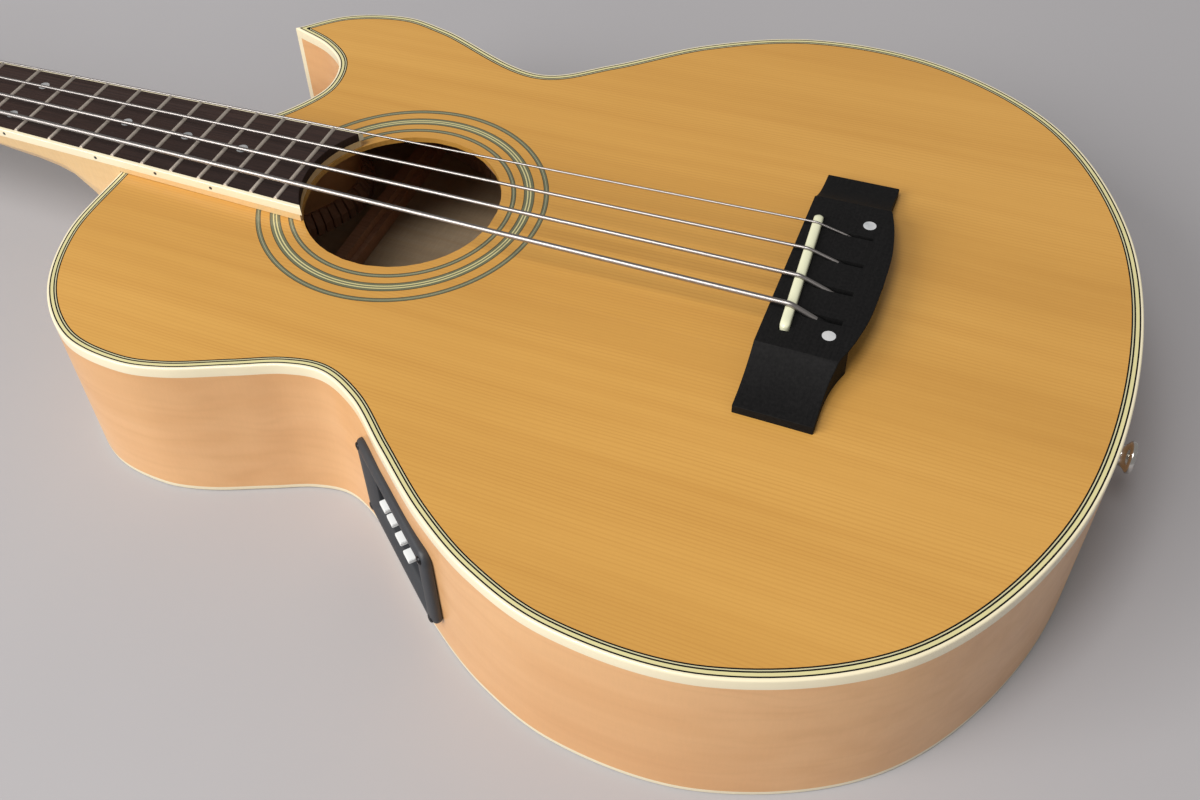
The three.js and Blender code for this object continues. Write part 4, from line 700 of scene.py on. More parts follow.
def cut_with(piece, cutters):
    """Cuts the pieces' shapes out of a piece for good, and removes them."""
    for cutter in cutters:
        cut = piece.modifiers.new("cut", "BOOLEAN")
        cut.operation = "DIFFERENCE"
        cut.solver = "EXACT"
        cut.object = cutter
    bpy.context.view_layer.update()
    seen = piece.evaluated_get(bpy.context.evaluated_depsgraph_get())
    finished = bpy.data.meshes.new_from_object(seen)
    piece.modifiers.clear()
    old = piece.data
    piece.data = finished
    bpy.data.meshes.remove(old)
    for cutter in cutters:
        bpy.data.objects.remove(cutter)


def box_faces(low, high, place=None):
    """Corners and faces of a box, optionally placed by a matrix."""
    xs, ys, zs = zip(low, high)
    corners = [Vector((x, y, z)) for z in zs for y in ys for x in xs]
    if place:
        corners = [place @ c for c in corners]
    faces = [(0, 2, 3, 1), (4, 5, 7, 6), (0, 1, 5, 4), (2, 6, 7, 3), (0, 4, 6, 2), (1, 3, 7, 5)]
    return corners, faces


def rod_faces(start, end, radius, sides=24):
    """Points and faces of a round bar between two points."""
    start, end = Vector(start), Vector(end)
    turn = (end - start).to_track_quat("Z", "Y").to_matrix()
    rows = []
    for middle in (start, end):
        row = [middle + turn @ Vector((radius * math.cos(a), radius * math.sin(a), 0))
               for a in np.linspace(0, 2 * math.pi, sides, endpoint=False)]
        rows.append(row)
    return loft(rows, capped=True)


def turned_faces(profile, sides=48, place=None):
    """Points and faces turned round Z from a profile of (radius, height), closed on the axis."""
    rows = []
    for radius, height in profile:
        rows.append([Vector(p) for p in circle_row(max(radius, 0.001), height, sides)])
    if place:
        rows = [[place @ p for p in row] for row in rows]
    return loft(rows, capped=True)


# --- body ------------------------------------------------------------------------------


def make_soundboard():
    """The spruce top, arched under the bridge, with its soundhole."""
    board = thick_plate(
        "soundboard",
        inset(OUTLINE, WOOD_INSET),
        lambda x, y: DEPTH - TOP_THICKNESS + arch(x, y),
        lambda x, y: DEPTH + arch(x, y),
        "spruce_top",
        hole_radius=HOLE_RADIUS,
        spacing=8.0,
        stands_for=["top_plate"],
        slot="spruce",
    )
    # The soundhole's wall takes the end-grain colour, darkened further as painted shade
    board.data.materials.append(MATERIALS["spruce_end"])
    for face in board.data.polygons:
        if abs(face.normal.z) < 0.5 and face.center.length < 2 * HOLE_RADIUS * MM:
            face.material_index = 1


def make_edges():
    """Bindings, and the lines and strips between the top's wood and its binding."""
    width, over, under = BINDING_WIDTH, SIDE_TOP, BACK_THICKNESS
    top = [
        (width, over), (0, over), (0, 91.0), (0.08, 91.4), (0.25, 91.72), (0.5, 91.92), (0.8, 92), (width, 92),
    ]
    edge_ring("top_edge_binding", top, "cream_binding", stands_for=["top_binding"], slot="cream")
    low = [
        (width, under), (0, under), (0, 0.9), (0.08, 0.55), (0.25, 0.25), (0.5, 0.07), (0.8, 0), (width, 0),
    ]
    edge_ring("back_edge_binding", low, "cream_binding", stands_for=["back_binding"], slot="cream")
    stands_for = ["purfling"]
    for name, outer, inner, material in EDGE_BANDS:
        profile = [(outer, BAND_FLOOR), (outer, DEPTH), (inner, DEPTH), (inner, BAND_FLOOR)]
        edge_ring(name, profile, material, stands_for=stands_for, slot="purfling_mix")
        stands_for = ()


def make_rosette():
    """The rings round the soundhole, let in flush."""
    low, high = RING_FLOOR, DEPTH + FLUSH
    stands_for = ["rosette"]
    for ring, radii, bands in ROSETTE_RINGS:
        for band, inner, outer in zip(bands, radii, radii[1:]):
            profile = ((inner, low), (inner, high), (outer, high), (outer, low))
            rows = [circle_row(radius, z, 128) for radius, z in profile]
            rows = [np.c_[row[:, :2], row[:, 2] + arch(row[:, 0], row[:, 1])] for row in rows]
            points, faces = loft(rows, closed_profile=True)
            finish = BAND_FINISHES[band.split("_")[0]]
            make_piece(f"{ring}_{band}", points, faces, finish, stands_for=stands_for, slot="purfling_mix")
            stands_for = ()


def along_rim(line, gap):
    """An open polyline shortened by a length at each end."""
    for _ in range(2):
        left = gap
        while np.linalg.norm(line[1] - line[0]) < left:
            left -= np.linalg.norm(line[1] - line[0])
            line = line[1:]
        way = (line[1] - line[0]) / np.linalg.norm(line[1] - line[0])
        line = np.vstack([line[0] + way * left, line[1:]])[::-1]
    return line


HORN_STRIP_HALF = 4.0
JACK_HEIGHT = 41

# The preamp: its place on the side, half of its housing, and its four sliders
PREAMP_SPOT = (73.695, -157.496, 45.5)
PREAMP_ANGLE = math.radians(-39.837)
HOUSING_HALF = (30, 19.5)
SLIDER_PITCH = 8.5
SLIDER_ROW_MIDDLE = 5.75
SLIDER_TRAVEL = 8
SLIDER_SETTINGS = (0.95, 0.95, 0.55, 0.25)

CORNERS = ((1, 1), (-1, 1), (-1, -1), (1, -1))


def preamp_place():
    """Matrix of the preamp's own frame: X along the side, Y up, Z out of the side."""
    turn = Matrix.Rotation(PREAMP_ANGLE, 4, "Z") @ Matrix.Rotation(math.pi / 2, 4, "X")
    return Matrix.Translation(PREAMP_SPOT) @ turn


PREAMP = preamp_place()


def make_sides():
    """The bent maple side, open at the preamp, the endpin and the strip on the horn."""
    runs = []
    for line in (OUTLINE, inset(OUTLINE, SIDE_THICKNESS)):
        order = np.roll(line, -TIP, 0)
        runs.append(along_rim(np.vstack([order, order[:1]]), HORN_STRIP_HALF))
    count = min(len(run) for run in runs)
    run, inner_run = (resample(run, count) for run in runs)
    low, high = BACK_THICKNESS, DEPTH - TOP_THICKNESS
    rows = []
    for line, z in ((run, low), (run, SIDE_TOP), (inner_run, high), (inner_run, low)):
        rows.append(np.c_[line, np.full(count, z)])
    points, faces = loft(rows, closed_rows=False, closed_profile=True)
    faces.append((0, count, 2 * count, 3 * count))
    faces.append(tuple(i + count - 1 for i in (3 * count, 2 * count, count, 0)))
    sides = make_piece(
        "bent_sides", points, faces, "maple_side",
        stands_for=["side_bass", "side_treble", "side_cutaway"], slot="maple_side",
    )
    length, width = (half + CLEARANCE for half in HOUSING_HALF)
    window = mesh_object("window_cutter", *box_faces((-length, -width, -40), (length, width, 15), PREAMP))
    start, end = (300, 0, JACK_HEIGHT), (380, 0, JACK_HEIGHT)
    bore = mesh_object("bore_cutter", *rod_faces(start, end, 6 + CLEARANCE))
    cut_with(sides, [window, bore])


def resample(line, count):
    """As many points, spaced by length along a polyline."""
    steps = np.r_[0, np.cumsum(np.linalg.norm(np.diff(line, axis=0), axis=1))]
    want = np.linspace(0, steps[-1], count)
    return np.c_[np.interp(want, steps, line[:, 0]), np.interp(want, steps, line[:, 1])]


def rounded_loop(length, width, radius, height, steps=6):
    """A rounded rectangle in the preamp's frame."""
    loop = []
    for quarter, (along, across) in enumerate(CORNERS):
        for step in range(steps + 1):
            turn = (quarter + step / steps) * math.pi / 2
            x = along * (length / 2 - radius) + radius * math.cos(turn)
            y = across * (width / 2 - radius) + radius * math.sin(turn)
            loop.append(PREAMP @ Vector((x, y, height)))
    return loop


def make_preamp_bezel():
    """The preamp's black frame, crowned between its rounded edge and its window, and its screws."""
    loops = [
        rounded_loop(*sizes)
        for sizes in (
            (77.0, 52.0, 5.6, -1.4), (78.0, 53.0, 6.0, -0.4), (78.0, 53.0, 6.0, 1.0),
            (77.6, 52.6, 5.8, 1.7), (76.4, 51.4, 5.4, 2.4), (74.0, 49.0, 4.6, 3.0),
            (71.5, 46.5, 4.0, 3.3), (69.5, 44.5, 3.5, 3.4), (67.5, 42.7, 3.0, 3.3),
            (63.5, 39.6, 2.6, 2.7), (59.0, 36.6, 2.2, 1.7), (56.0, 34.4, 1.6, 0.9),
            (54.4, 33.4, 1.2, 0.2), (54.0, 33.0, 1.0, -0.6), (54.0, 33.0, 1.0, -6.0),
            (59.4, 38.4, 1.0, -6.0), (59.4, 38.4, 1.0, -1.4),
        )
    ]
    points, faces = loft(loops, closed_profile=True)
    make_piece(
        "preamp_bezel", points, faces, "black_plastic", stands_for=["preamp_frame"], slot="black_plastic",
    )
    dome = [(2.2, -0.4), (2.2, 0.35), (2.0, 0.75), (1.5, 1.05), (0.8, 1.18), (0, 1.2)]
    for number, (along, across) in enumerate(CORNERS, 1):
        spot = PREAMP @ Matrix.Translation((along * 34.8, across * 22.3, 2.7))
        turn = Matrix.Rotation(math.radians(35 * number), 4, "Z")
        head, skin = turned_faces(dome, 28, spot)
        screw = make_piece(f"preamp_screw_{number}", head, skin, "screw_black", slot="black_plastic")
        slot = box_faces((-3, -0.3, 0.65), (3, 0.3, 2), spot @ turn)
        cut_with(screw, [mesh_object("slot_cutter", *slot)])


def make_slider_caps():
    """Each slider: a white cap with rounded edges on a narrower black stem."""
    cap_levels = ((-0.4, -0.2), (-0.3, 0), (3.9, 0), (4.2, -0.15), (4.3, -0.4))
    stem_levels = ((-5.4, 0), (-0.2, 0))
    round_off = 0.35
    for number, share in enumerate(SLIDER_SETTINGS, 1):
        along = SLIDER_ROW_MIDDLE + (number - 2.5) * SLIDER_PITCH
        spot = PREAMP @ Matrix.Translation((along, share * SLIDER_TRAVEL, 0))
        for part, finish, slot, length, (under, over), levels in (
            ("cap", "white_cap", "white_plastic", 6.6, (1.1, 3.5), cap_levels),
            ("stem", "black_plastic", "black_plastic", 3.6, (-2.0, 2.4), stem_levels),
        ):
            rows = []
            for height, grow in levels:
                half_x, half_y = length / 2 + grow, (over - under) / 2 + grow
                corners = [(half_x, half_y - round_off), (half_x - round_off, half_y)]
                quarter = corners + [(-x, y) for x, y in corners[::-1]]
                ring = quarter + [(-x, -y) for x, y in quarter]
                rows.append([spot @ Vector((x, y + (under + over) / 2, height)) for x, y in ring])
            points, faces = loft(rows, capped=True)
            make_piece(
                f"slider_{part}_{number}", points, faces, finish, body=f"slider_{number}",
                stands_for=[f"preamp_slider_{number}"] if part == "cap" else (), slot=slot,
            )


def make_back():
    """The maple back: a lacquered outer skin and a bare inner one."""
    line = inset(OUTLINE, BINDING_WIDTH)
    between, inside = level(1.6), level(BACK_THICKNESS)
    thick_plate(
        "back_outer", line, level(0), between, "maple_back", spacing=24.0,
        stands_for=["back_plate"], slot="maple_side",
    )
    thick_plate("back_inner", line, between, inside, "inner_back", spacing=24.0, slot="inner_wood")


def make_linings():
    """Kerfed strips inside the joints of the sides with the top and the back."""
    line = resample(np.vstack([OUTLINE, OUTLINE[:1]]), 320)[:-1]
    inward = np.roll(line, -1, 0) - np.roll(line, 1, 0)
    inward = np.c_[-inward[:, 1], inward[:, 0]]
    inward /= np.linalg.norm(inward, axis=1)[:, None]
    profiles = {
        "top_lining": [(2.6, 88.9), (2.6, 74.9), (4.6, 74.9), (9.6, 82), (9.6, 88.9)],
        "back_lining": [(2.6, 3.1), (9.6, 3.1), (9.6, 10), (4.6, 17.1), (2.6, 17.1)],
    }
    tip = OUTLINE[TIP]
    for name, profile in profiles.items():
        kerfs = []
        for i, (spot, way) in enumerate(zip(line, inward)):
            at_block = spot[0] < -96 and -42 < spot[1] < 38
            if at_block or np.linalg.norm(spot - tip) < 22:
                continue
            half = (line[(i + 1) % len(line)] - line[i - 1]) * 0.225
            ends = [[(*(spot + way * away + half * end), z) for away, z in profile] for end in (-1, 1)]
            kerfs.append(loft(ends, capped=True))
        make_piece(
            "kerfed_" + name, *gather(kerfs), "inner_wood", smooth=False,
            stands_for=[name], slot="inner_wood",
        )


# --- neck ------------------------------------------------------------------------------

NECK = Matrix.Translation((0, 0, DEPTH + BOARD_RISE)) @ Matrix.Rotation(-NECK_ANGLE, 4, "Y")
HEAD_START = Matrix.Translation((NUT_X - NUT_THICKNESS, 0, -HEAD_DROP))
HEAD = NECK @ HEAD_START @ Matrix.Rotation(-HEAD_ANGLE, 4, "Y")


def fret_x(number):
    """Where a fret is, along the neck."""
    return NUT_X + SCALE_LENGTH * (1 - 2 ** (-number / 12))


def board_half(x):
    """Half the board's width inside its binding."""
    slope = (BOARD_HALF_AT_LAST - BOARD_HALF_AT_NUT) / (fret_x(FRETS) - NUT_X)
    return BOARD_HALF_AT_NUT + slope * (x - NUT_X)


def place_points(points, place):
    """Points moved by a matrix."""
    return [place @ Vector(p) for p in points]


def board_end(y):
    """Where the board's round end is, at a distance across it."""
    return -math.sqrt(BOARD_END_RADIUS**2 - y * y)


def make_board():
    """Rosewood board with its bindings, ending round the soundhole."""
    end_half, nut_half = board_half(-41.5), board_half(NUT_X)
    arc = [(board_end(y), y) for y in np.linspace(-end_half, end_half, 24)]
    rows = []
    for grow, z in ((-0.35, 0.0), (-0.1, -0.12), (0.0, -0.35), (0.0, -BOARD_THICKNESS)):
        rows.append([(NUT_X, -nut_half, z), *((x + grow, y, z) for x, y in arc), (NUT_X, nut_half, z)])
    points, faces = loft(rows, capped=True)
    make_piece(
        "rosewood_fingerboard", place_points(points, NECK), faces, "rosewood_board",
        stands_for=["fingerboard"], slot="rosewood",
    )
    for side, word in ((-1, "bass"), (1, "treble")):
        rows = []
        for x in (NUT_X, fret_x(7), fret_x(14), None):
            place = x if x is not None else -41.0
            inner, outer = board_half(place), board_half(place) + BOARD_BINDING
            profile = [(inner, 0), (outer - 0.7, 0), (outer - 0.25, -0.1), (outer - 0.05, -0.35),
                       (outer, -0.8), (outer, -BOARD_THICKNESS), (inner, -BOARD_THICKNESS)]
            row = []
            for y, z in profile:
                along = place if x is not None else board_end(min(y, 33.4))
                row.append((along, side * y, z))
            rows.append(row)
        points, faces = loft(rows, capped=True)
        make_piece(
            f"neck_binding_{word}", place_points(points, NECK), faces, "cream_binding",
            stands_for=[f"board_binding_{word}"], slot="cream",
        )


def make_frets():
    """Rounded fret wires with sloped ends, across the board between its bindings."""
    half = [(1.15, -0.1), (1.15, 0.2), (0.93, 0.62), (0.53, 0.98), (0.0, 1.12)]
    crown = [(-x, z) for x, z in half] + half[-2::-1]
    slope = ((0, 0.3), (0.3, 0.9), (0.5, 1))
    wires = []
    for number in range(1, FRETS + 1):
        x, reach = fret_x(number), board_half(fret_x(number)) - 0.05
        ends = [(-reach + away, share) for away, share in slope]
        ends += [(reach - away, share) for away, share in slope[::-1]]
        rows = [[(x + dx, y, z * share if z > 0 else z) for dx, z in crown] for y, share in ends]
        wires.append(loft(rows, capped=True))
    points, faces = gather(wires)
    make_piece("fret_wires", place_points(points, NECK), faces, "fret_metal", slot="nickel")


def dot_x(number):
    """Middle of the space before a fret."""
    return (fret_x(number) + fret_x(number - 1)) / 2


FACE_DOTS = [(3, 0), (5, 0), (7, 0), (9, 0), (12, -14.5), (12, 14.5), (15, 0), (17, 0), (19, 0)]


def make_dots():
    """Pearl dots in the face of the board and small black ones in its bass edge."""
    profile = ((3.2, -0.6), (3.2, FLUSH), (2.9, 2 * FLUSH))
    face, side = [], []
    for number, y in FACE_DOTS:
        rows = [circle_row(r, z, 32, (dot_x(number), y)) for r, z in profile]
        face.append(loft(rows, capped=True))
        x = dot_x(number) + y / 3
        edge = -(board_half(x) + BOARD_BINDING)
        side.append(rod_faces((x, edge - FLUSH, -2.5), (x, edge + 0.8, -2.5), 1.0, 16))
    for name, discs, finish, slot in (
        ("board_dots", face, "board_pearl_painted_shade", "nickel"),
        ("side_dots", side, "side_dot_black", "black_plastic"),
    ):
        points, faces = gather(discs)
        make_piece(name, place_points(points, NECK), faces, finish, slot=slot)


# --- bridge ----------------------------------------------------------------------------

# Places along the strings are from the middle of the soundhole; the belly and the wings are
# shares of their length and depth
BRIDGE_FRONT = 199.7
BRIDGE_END = 34.7
BRIDGE_BACK = BRIDGE_FRONT + BRIDGE_END
BRIDGE_MIDDLE = 43.5
BRIDGE_TOP = 108.5
BRIDGE_HALF = 81
BLOCK_HALF = 51
SLOT_FRONT = 223.2
BELLY = [(1, 0), (0.75, 0.02), (0.62, 0.23), (0.54, 0.45), (0.44, 0.67), (0.26, 0.92), (0, 1)]
WING = [(0, 0), (0.1, 0.25), (0.25, 0.5), (0.45, 0.75), (0.7, 0.93), (1, 1)]
WING_DROP = 10.2
WING_CREASES = (0, 0.03, 0.06, 0.11, 0.16, 0.24, 0.32)
UNDERCUT_HALF = 43.6
UNDERCUT_LIP = 0.6
UNDERCUT_DEPTH = 17.9
SADDLE_X = 207.6
SADDLE_HALF = 38.6
SADDLE_SHIFT = -2.4
SADDLE_LEAN = 4.3 / 77.2
SADDLE_PLACE = (
    Matrix.Translation((SADDLE_X, 0, 0))
    @ Matrix.Rotation(math.atan(SADDLE_LEAN), 4, "Z")
    @ Matrix.Translation((0, SADDLE_SHIFT, 0))
)


def wing_drop(across):
    """How far the bridge's top lies below its block at a distance from its middle."""
    share = np.clip((abs(across) - BLOCK_HALF) / (BRIDGE_HALF - BLOCK_HALF), 0, 1)
    curve = centripetal(WING, 8)
    return WING_DROP * np.interp(share, curve[:, 0], curve[:, 1])


def belly_curve():
    """The bridge's back edge, from its treble end to its middle."""
    bulge = BRIDGE_MIDDLE - BRIDGE_END
    return centripetal([(BRIDGE_BACK + share * bulge, along * BRIDGE_HALF) for along, share in BELLY], 6)


def bridge_outline():
    """The bridge seen from above, counter-clockwise, with a belly behind the strings."""
    corner = ((0, 0.5), (0.15, 0.15), (0.5, 0))
    treble = [(BRIDGE_FRONT + x, BRIDGE_HALF - y) for x, y in corner]
    treble += [(BRIDGE_BACK - x, BRIDGE_HALF - y) for x, y in corner[::-1]]
    treble += [(x, y) for x, y in belly_curve() if y < BRIDGE_HALF - 1]
    bass = [(x, -y) for x, y in treble[:-1]][::-1]
    ring = (treble + bass)[::-1]
    return densify(np.array(ring), 3.0)


def densify(ring, longest):
    """A closed ring with points added so that no stretch is longer than that."""
    made = []
    for a, b in zip(ring, np.roll(ring, -1, 0)):
        pieces = max(1, int(np.ceil(np.linalg.norm(b - a) / longest)))
        made += [a + (b - a) * k / pieces for k in range(pieces)]
    return np.array(made)


# From bass to treble: the strings, and where their posts are along and across the head
STRING_RADII = (1.33, 1.08, 0.83, 0.57)
POSTS = ((-52, -25, -1), (-128, -24, -1), (-128, 24, 1), (-52, 25, 1))
SADDLE_SPACING = 19
NUT_SPACING = 10.2
POST_RADIUS = 5.5
STRING_TURNS = 3.0


def string_paths():
    """For each string: radius, ball, slot, saddle, nut and post places, from bass to treble."""
    made = []
    for i, (radius, post) in enumerate(zip(STRING_RADII, POSTS)):
        order = i - 1.5
        y = order * SADDLE_SPACING
        saddle = Vector((SADDLE_X - SADDLE_LEAN * y, y, BRIDGE_TOP + 3 + radius - 0.3))
        slot = Vector((SLOT_FRONT - 2.2, y, BRIDGE_TOP - 0.95 * radius - 0.25))
        ball = Vector((BRIDGE_FRONT + BRIDGE_MIDDLE - 11, y, BRIDGE_TOP - 6))
        nut = NECK @ Vector((NUT_X, order * NUT_SPACING, 3.4 + radius - 0.9))
        inner = post[1] - post[2] * (POST_RADIUS + radius)
        end = HEAD @ Vector((post[0], inner, 8.5))
        made.append((radius, ball, slot, saddle, nut, end, post))
    return made


STRINGS = string_paths()


def undercut_faces():
    """What the slope takes away under the belly's back edge, between its two corners."""
    curve = belly_curve()[::-1]
    lip = BRIDGE_TOP - UNDERCUT_LIP
    low = lip - UNDERCUT_DEPTH
    rows = []
    for y in np.linspace(-UNDERCUT_HALF, UNDERCUT_HALF, 37):
        edge = np.interp(abs(y), curve[:, 1], curve[:, 0])
        beyond = edge + 5
        deep = edge - UNDERCUT_DEPTH
        rows.append([(edge - 0.01, y, lip), (beyond, y, lip), (beyond, y, low), (deep, y, low)])
    return loft(rows, capped=True)


def make_bridge():
    """Black bridge: a flat block with scooped wings, a slanted saddle seat and string slots."""
    ring = bridge_outline()
    rows = []
    for depth, drop in ((0.0, 0.35), (0.05, 0.16), (0.16, 0.05), (0.4, 0.0)):
        line = inset(ring, depth) if depth else ring
        rows.append(np.c_[line, BRIDGE_TOP - wing_drop(ring[:, 1]) - drop])
    foot = DEPTH + 0.05
    skirt = loft([np.c_[ring, foot + arch(ring[:, 0], ring[:, 1])], *rows])
    inner = inset(ring, 0.4)
    creases = []
    wing = BRIDGE_HALF - BLOCK_HALF
    for y in sorted(side * (BLOCK_HALF + share * wing) for side in (-1, 1) for share in WING_CREASES):
        near = inner[np.abs(inner[:, 1] - y) < 3.0]
        if len(near) > 1:
            creases.append([(near[:, 0].min() + 1.2, y), (near[:, 0].max() - 1.2, y)])
    spots, top_faces = flat_mesh(inner, None, 6.0, creases)
    top = np.c_[spots, BRIDGE_TOP - wing_drop(spots[:, 1])]
    spots, bottom_faces = flat_mesh(ring, None, 12.0)
    bottom = np.c_[spots, foot + arch(spots[:, 0], spots[:, 1])]
    points, faces = gather([skirt, (top, top_faces), (bottom, bottom_faces)])
    bridge = make_piece(
        "glued_bridge", points, faces, "black_bridge", stands_for=["bridge"], slot="ebony",
    )
    reach = SADDLE_HALF + CLEARANCE
    seat = box_faces((-2.4, -reach, 100.7), (2.4, reach, 120), SADDLE_PLACE)
    cutters = [mesh_object("seat_cutter", *seat), mesh_object("undercut_cutter", *undercut_faces())]
    for radius, ball, slot, saddle, *_ in STRINGS:
        half = radius + 0.35
        low = (SLOT_FRONT - 3.6 * radius, slot.y - half, 105.4)
        high = (SLOT_FRONT + 9, slot.y + half, 120)
        ball_front, beyond = ball - Vector((0.3, 0, 0)), ball + Vector((30, 0, 0))
        for name, (points, faces) in (
            ("slot_cutter", box_faces(low, high)),
            ("way_cutter", rod_faces(slot, saddle, half)),
            ("way_cutter", rod_faces(slot, ball, half)),
            ("ball_cutter", rod_faces(ball_front, beyond, 3.5)),
        ):
            cutters.append(mesh_object(name, points, faces))
    cut_with(bridge, cutters)


def make_saddle():
    """Bone-coloured saddle with a rounded top and ends, notched by the strings."""
    rows = []
    half_width = 2.2
    shares = (0.3, 0.6, 0.85, 0.92, 0.955, 0.98, 0.995, 1)
    for share in [-share for share in shares[::-1]] + [0, *shares]:
        y = share * SADDLE_HALF
        from_end = SADDLE_HALF - abs(y)
        width = half_width * min(1, math.sqrt(max(0.02, 1 - max(0, 1 - from_end / half_width) ** 2)))
        top = BRIDGE_TOP + 3.0 - 1.5 * max(0, 1 - from_end / 3.5) ** 2
        row = [(-width, y, BRIDGE_TOP - 6), (width, y, BRIDGE_TOP - 6)]
        for turn in np.linspace(0, math.pi, 11):
            row.append((width * math.cos(turn), y, top - 1.3 + 1.3 * math.sin(turn) ** 0.8))
        rows.append(row)
    points, faces = loft(rows, capped=True)
    saddle = make_piece(
        "bone_saddle", place_points(points, SADDLE_PLACE), faces, "saddle_bone",
        stands_for=["saddle"], slot="saddle_cream",
    )
    cutters = []
    for radius, _, slot, crest, nut, *_ in STRINGS:
        far = crest + (nut - crest).normalized() * 20
        for start, end in ((crest, far), (slot, crest)):
            cutters.append(mesh_object("notch_cutter", *rod_faces(start, end, radius + 0.1)))
    cut_with(saddle, cutters)


def make_bridge_dots():
    """Two pearl dots on the bridge's block."""
    profile = ((2.95, 107), (2.95, BRIDGE_TOP + FLUSH), (2.7, BRIDGE_TOP + 0.05))
    discs = []
    for side in (-1, 1):
        rows = [circle_row(r, z, 40, (228.6, side * 37.7)) for r, z in profile]
        discs.append(loft(rows, capped=True))
    make_piece("bridge_pearl_dots", *gather(discs), "bridge_pearl", slot="nickel")


def tube(path, radius, sides=20):
    """Points and faces of a tube along a path; radius is a number or one for each point."""
    path = [Vector(p) for p in path]
    radii = radius if isinstance(radius, list) else [radius] * len(path)
    way = (path[1] - path[0]).normalized()
    side = way.cross(Vector((0, 0, 1))).normalized()
    rows = []
    for i, spot in enumerate(path):
        ahead = path[min(i + 1, len(path) - 1)]
        behind = path[max(i - 1, 0)]
        way = (ahead - behind).normalized()
        side = (side - way * side.dot(way)).normalized()
        up = way.cross(side)
        rows.append([spot + (side * math.cos(a) + up * math.sin(a)) * radii[i]
                     for a in np.linspace(0, 2 * math.pi, sides, endpoint=False)])
    return loft(rows, capped=True)


def rounded_path(points, reach):
    """A path whose corners are softened over a reach to each side."""
    made = [points[0]]
    for before, corner, after in zip(points, points[1:], points[2:]):
        start = corner + (before - corner).normalized() * reach
        end = corner + (after - corner).normalized() * reach
        for t in (0, 0.25, 0.5, 0.75, 1):
            made.append(start.lerp(corner, t).lerp(corner.lerp(end, t), t))
    made.append(points[-1])
    return made


def make_strings():
    """Wound strings from their ball ends over the saddle and the nut to their posts."""
    for letter, (radius, *path, (post_x, post_y, side)) in zip("eadg", STRINGS):
        around = POST_RADIUS + radius
        coil = []
        for turn in np.linspace(0, 2 * math.pi * STRING_TURNS, 109):
            angle = side * (turn - math.pi / 2)
            z = 11.2 - turn / (2 * math.pi) * 2.1 * radius
            x, y = post_x + around * math.cos(angle), post_y + around * math.sin(angle)
            coil.append(HEAD @ Vector((x, y, z)))
        ball = path[0]
        points, faces = gather([
            tube(rounded_path(path, 1.2), radius),
            tube(coil, radius * 0.98, 12),
            rod_faces(ball - Vector((0.2, 0, 0)), ball + Vector((5, 0, 0)), 3.1),
        ])
        make_piece(
            f"wound_string_{letter}", points, faces, "string_winding",
            stands_for=[f"string_{letter}"], slot="string_metal",
        )


def make_endpin():
    """Endpin jack: a strap button with a bore for the plug."""
    place = Matrix.Translation((352, 0, JACK_HEIGHT)) @ Matrix.Rotation(math.pi / 2, 4, "Y")
    profile = [
        (3.4, -21.5), (3.4, -34), (6, -34), (6, -25.8), (9, -25.8), (9, -22.8), (6, -22.8), (6, 0.3),
        (7.2, 0.3), (7.55, 0.5), (7.55, 1.4), (7.2, 1.75), (5.2, 1.8), (4.85, 2.3), (4.8, 4.2), (5.0, 5.6),
        (5.7, 6.8), (6.7, 7.5), (7.35, 8.1), (7.6, 8.8), (7.55, 9.7), (7.2, 10.3), (6.6, 10.5),
        (4.0, 10.5), (3.4, 10.1),
    ]
    rows = [[place @ Vector(p) for p in circle_row(r, z, 48)] for r, z in profile]
    points, faces = loft(rows, closed_profile=True)
    make_piece("strap_button", points, faces, "nickel_plate", stands_for=["endpin_jack"], slot="nickel")


# --- carried-over solids ----------------------------------------------------------------

NODE_MATERIALS = {
    "maple_neck": ["neck"],
    "cream_binding": ["heel_cap", "nut", "horn_binding"],
    "head_black": ["headstock_veneer"],
    "black_plastic": ["truss_rod_cover", "battery"],
    "black_recess": ["preamp_housing"],
    "rod_steel": ["truss_rod", "saddle_pickup"],
    "inner_wood": [
        "neck_block", "tail_block", "x_brace_bass", "x_brace_treble", "transverse_brace", "tone_bar",
        "bridge_plate", "back_bracing",
    ],
    "nickel_plate": [
        f"tuner_{part}_{letter}" for part in ("plate", "bushing", "post", "key") for letter in "eadg"
    ],
}
SOFT_EDGES = {
    "neck": 0.8, "nut": 0.4, "heel_cap": 0.5, "headstock_veneer": 0.4, "truss_rod_cover": 0.4,
    "horn_binding": 0.3,
}
for part, width in (("plate", 0.35), ("bushing", 0.35), ("post", 0.35), ("key", 1.2)):
    SOFT_EDGES.update({f"tuner_{part}_{letter}": width for letter in "eadg"})


def dress_solids():
    """Gives each solid that stays its finish, and softens its edges."""
    for material, nodes in NODE_MATERIALS.items():
        for name in nodes:
            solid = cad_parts[name]
            solid.data.materials.clear()
            solid.data.materials.append(MATERIALS[material])
            for face in solid.data.polygons:
                face.use_smooth = True
            solid.data.set_sharp_from_angle(angle=SOLID_SHARP_ANGLE)
            if name in SOFT_EDGES:
                soft = solid.modifiers.new("soft edges", "BEVEL")
                soft.width = SOFT_EDGES[name] * MM
                soft.segments = 3
                soft.limit_method = "ANGLE"
                soft.angle_limit = SOFT_EDGE_ANGLE
                soft.harden_normals = True


# --- studio ----------------------------------------------------------------------------

# The photo's camera: azimuth, elevation and roll in degrees, and what it looks at
CAMERA_ANGLES = (29.819, 45.059, -6.914)
CAMERA_TARGET = (78.715, -74.361, 100)
CAMERA_DISTANCE = 583.368
CAMERA_LENS = 38.415
CAMERA_SHIFT = (0.10198, -0.06553)


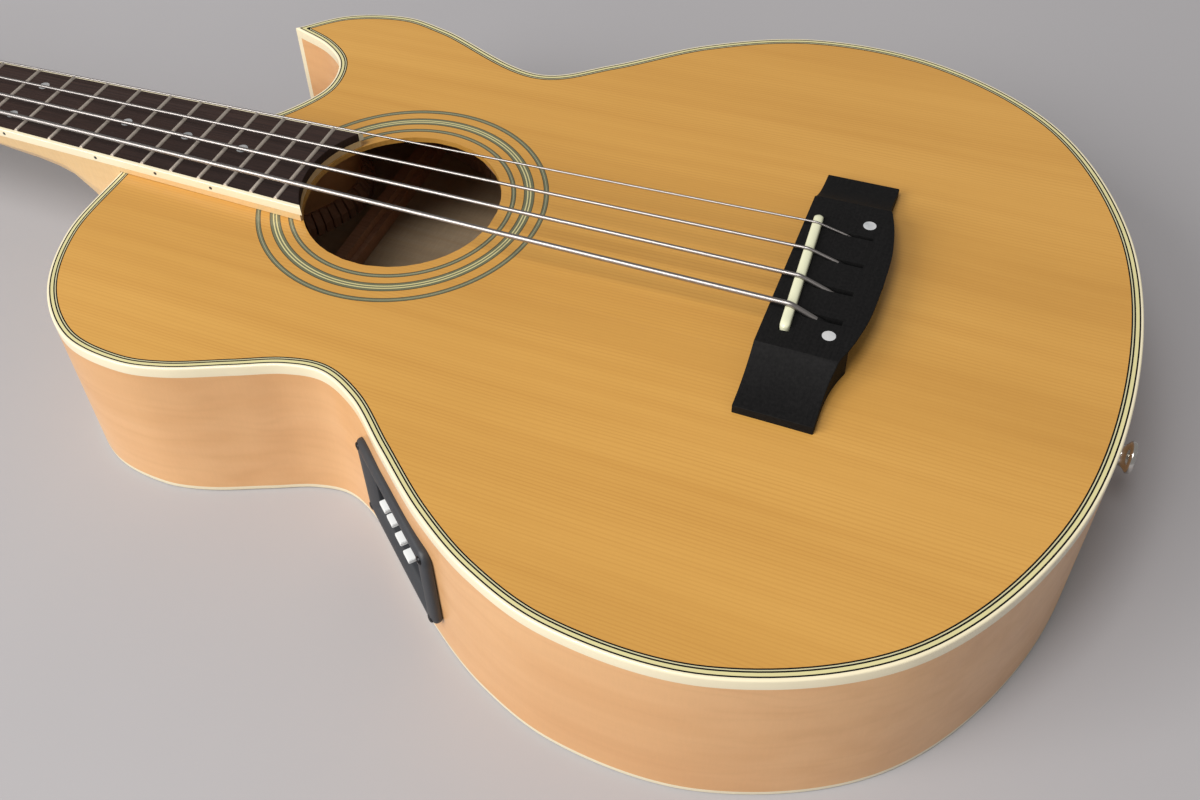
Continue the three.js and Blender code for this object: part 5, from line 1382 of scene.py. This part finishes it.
def make_studio():
    """A pale floor, even light, and a camera with the view of the photo."""
    floor_mesh = bpy.data.meshes.new("studio_floor")
    far, low = 8, -0.0003
    corners = [(x * far, y * far, low) for x, y in CORNERS[2:] + CORNERS[:2]]
    floor_mesh.from_pydata(corners, [], [(0, 1, 2, 3)])
    floor = bpy.data.objects.new("studio_floor", floor_mesh)
    bpy.context.scene.collection.objects.link(floor)
    tree, shader = start_material("floor_paper", 0.75)
    wear = place_wear(tree, 0.05)
    greys = [(0.3, (0.385, 0.375, 0.386)), (0.7, (0.415, 0.403, 0.412))]
    shade = ramp_node(tree, wear.outputs["Smudges"], greys)
    tree.links.new(shade, shader.inputs["Base Color"])
    floor_mesh.materials.append(MATERIALS["floor_paper"])

    world = bpy.data.worlds.new("studio")
    bpy.context.scene.world = world
    world.use_nodes = True
    sky = world.node_tree.nodes["Background"]
    sky.inputs["Color"].default_value = (1.0, 0.99, 0.985, 1)
    sky.inputs["Strength"].default_value = 0.28

    for name, spot, target, size, power, colour in (
        ("front_left_softbox", (-1.9, -2.7, 2.2), (0.05, -0.05, 0.05), 2.45, 136, (1, 0.985, 0.97)),
        ("overhead_softbox", (-0.5, -1.9, 3.9), (0.1, 0, 0.05), 1.45, 93, (1, 0.99, 0.985)),
    ):
        light = bpy.data.lights.new(name, "AREA")
        light.shape = "SQUARE"
        light.size = size
        light.energy = power
        light.color = colour
        lamp = bpy.data.objects.new(name, light)
        lamp.location = spot
        lamp.rotation_euler = (Vector(target) - Vector(spot)).to_track_quat("-Z", "Y").to_euler()
        bpy.context.scene.collection.objects.link(lamp)

    azimuth, elevation, roll = (math.radians(angle) for angle in CAMERA_ANGLES)
    flat = math.cos(elevation)
    back = Vector((math.sin(azimuth) * flat, -math.cos(azimuth) * flat, math.sin(elevation)))
    right = (-back).cross(Vector((0, 0, 1))).normalized()
    up = right.cross(-back)
    across = right * math.cos(roll) + up * math.sin(roll)
    above = up * math.cos(roll) - right * math.sin(roll)
    spot = Vector(CAMERA_TARGET) * MM + back * CAMERA_DISTANCE * MM
    lens = bpy.data.cameras.new("photo_camera")
    lens.sensor_width = 36
    lens.lens = CAMERA_LENS
    lens.shift_x, lens.shift_y = CAMERA_SHIFT
    lens.clip_start = 0.01
    camera = bpy.data.objects.new("photo_camera", lens)
    camera.matrix_world = Matrix.Translation(spot) @ Matrix((across, above, back)).transposed().to_4x4()
    bpy.context.scene.collection.objects.link(camera)
    bpy.context.scene.camera = camera
    bpy.context.scene.view_settings.view_transform = "Standard"


make_studio()
make_soundboard()
make_edges()
make_rosette()
make_sides()
make_preamp_bezel()
make_slider_caps()
make_back()
make_linings()
make_board()
make_frets()
make_dots()
make_bridge()
make_saddle()
make_bridge_dots()
make_strings()
make_endpin()
dress_solids()
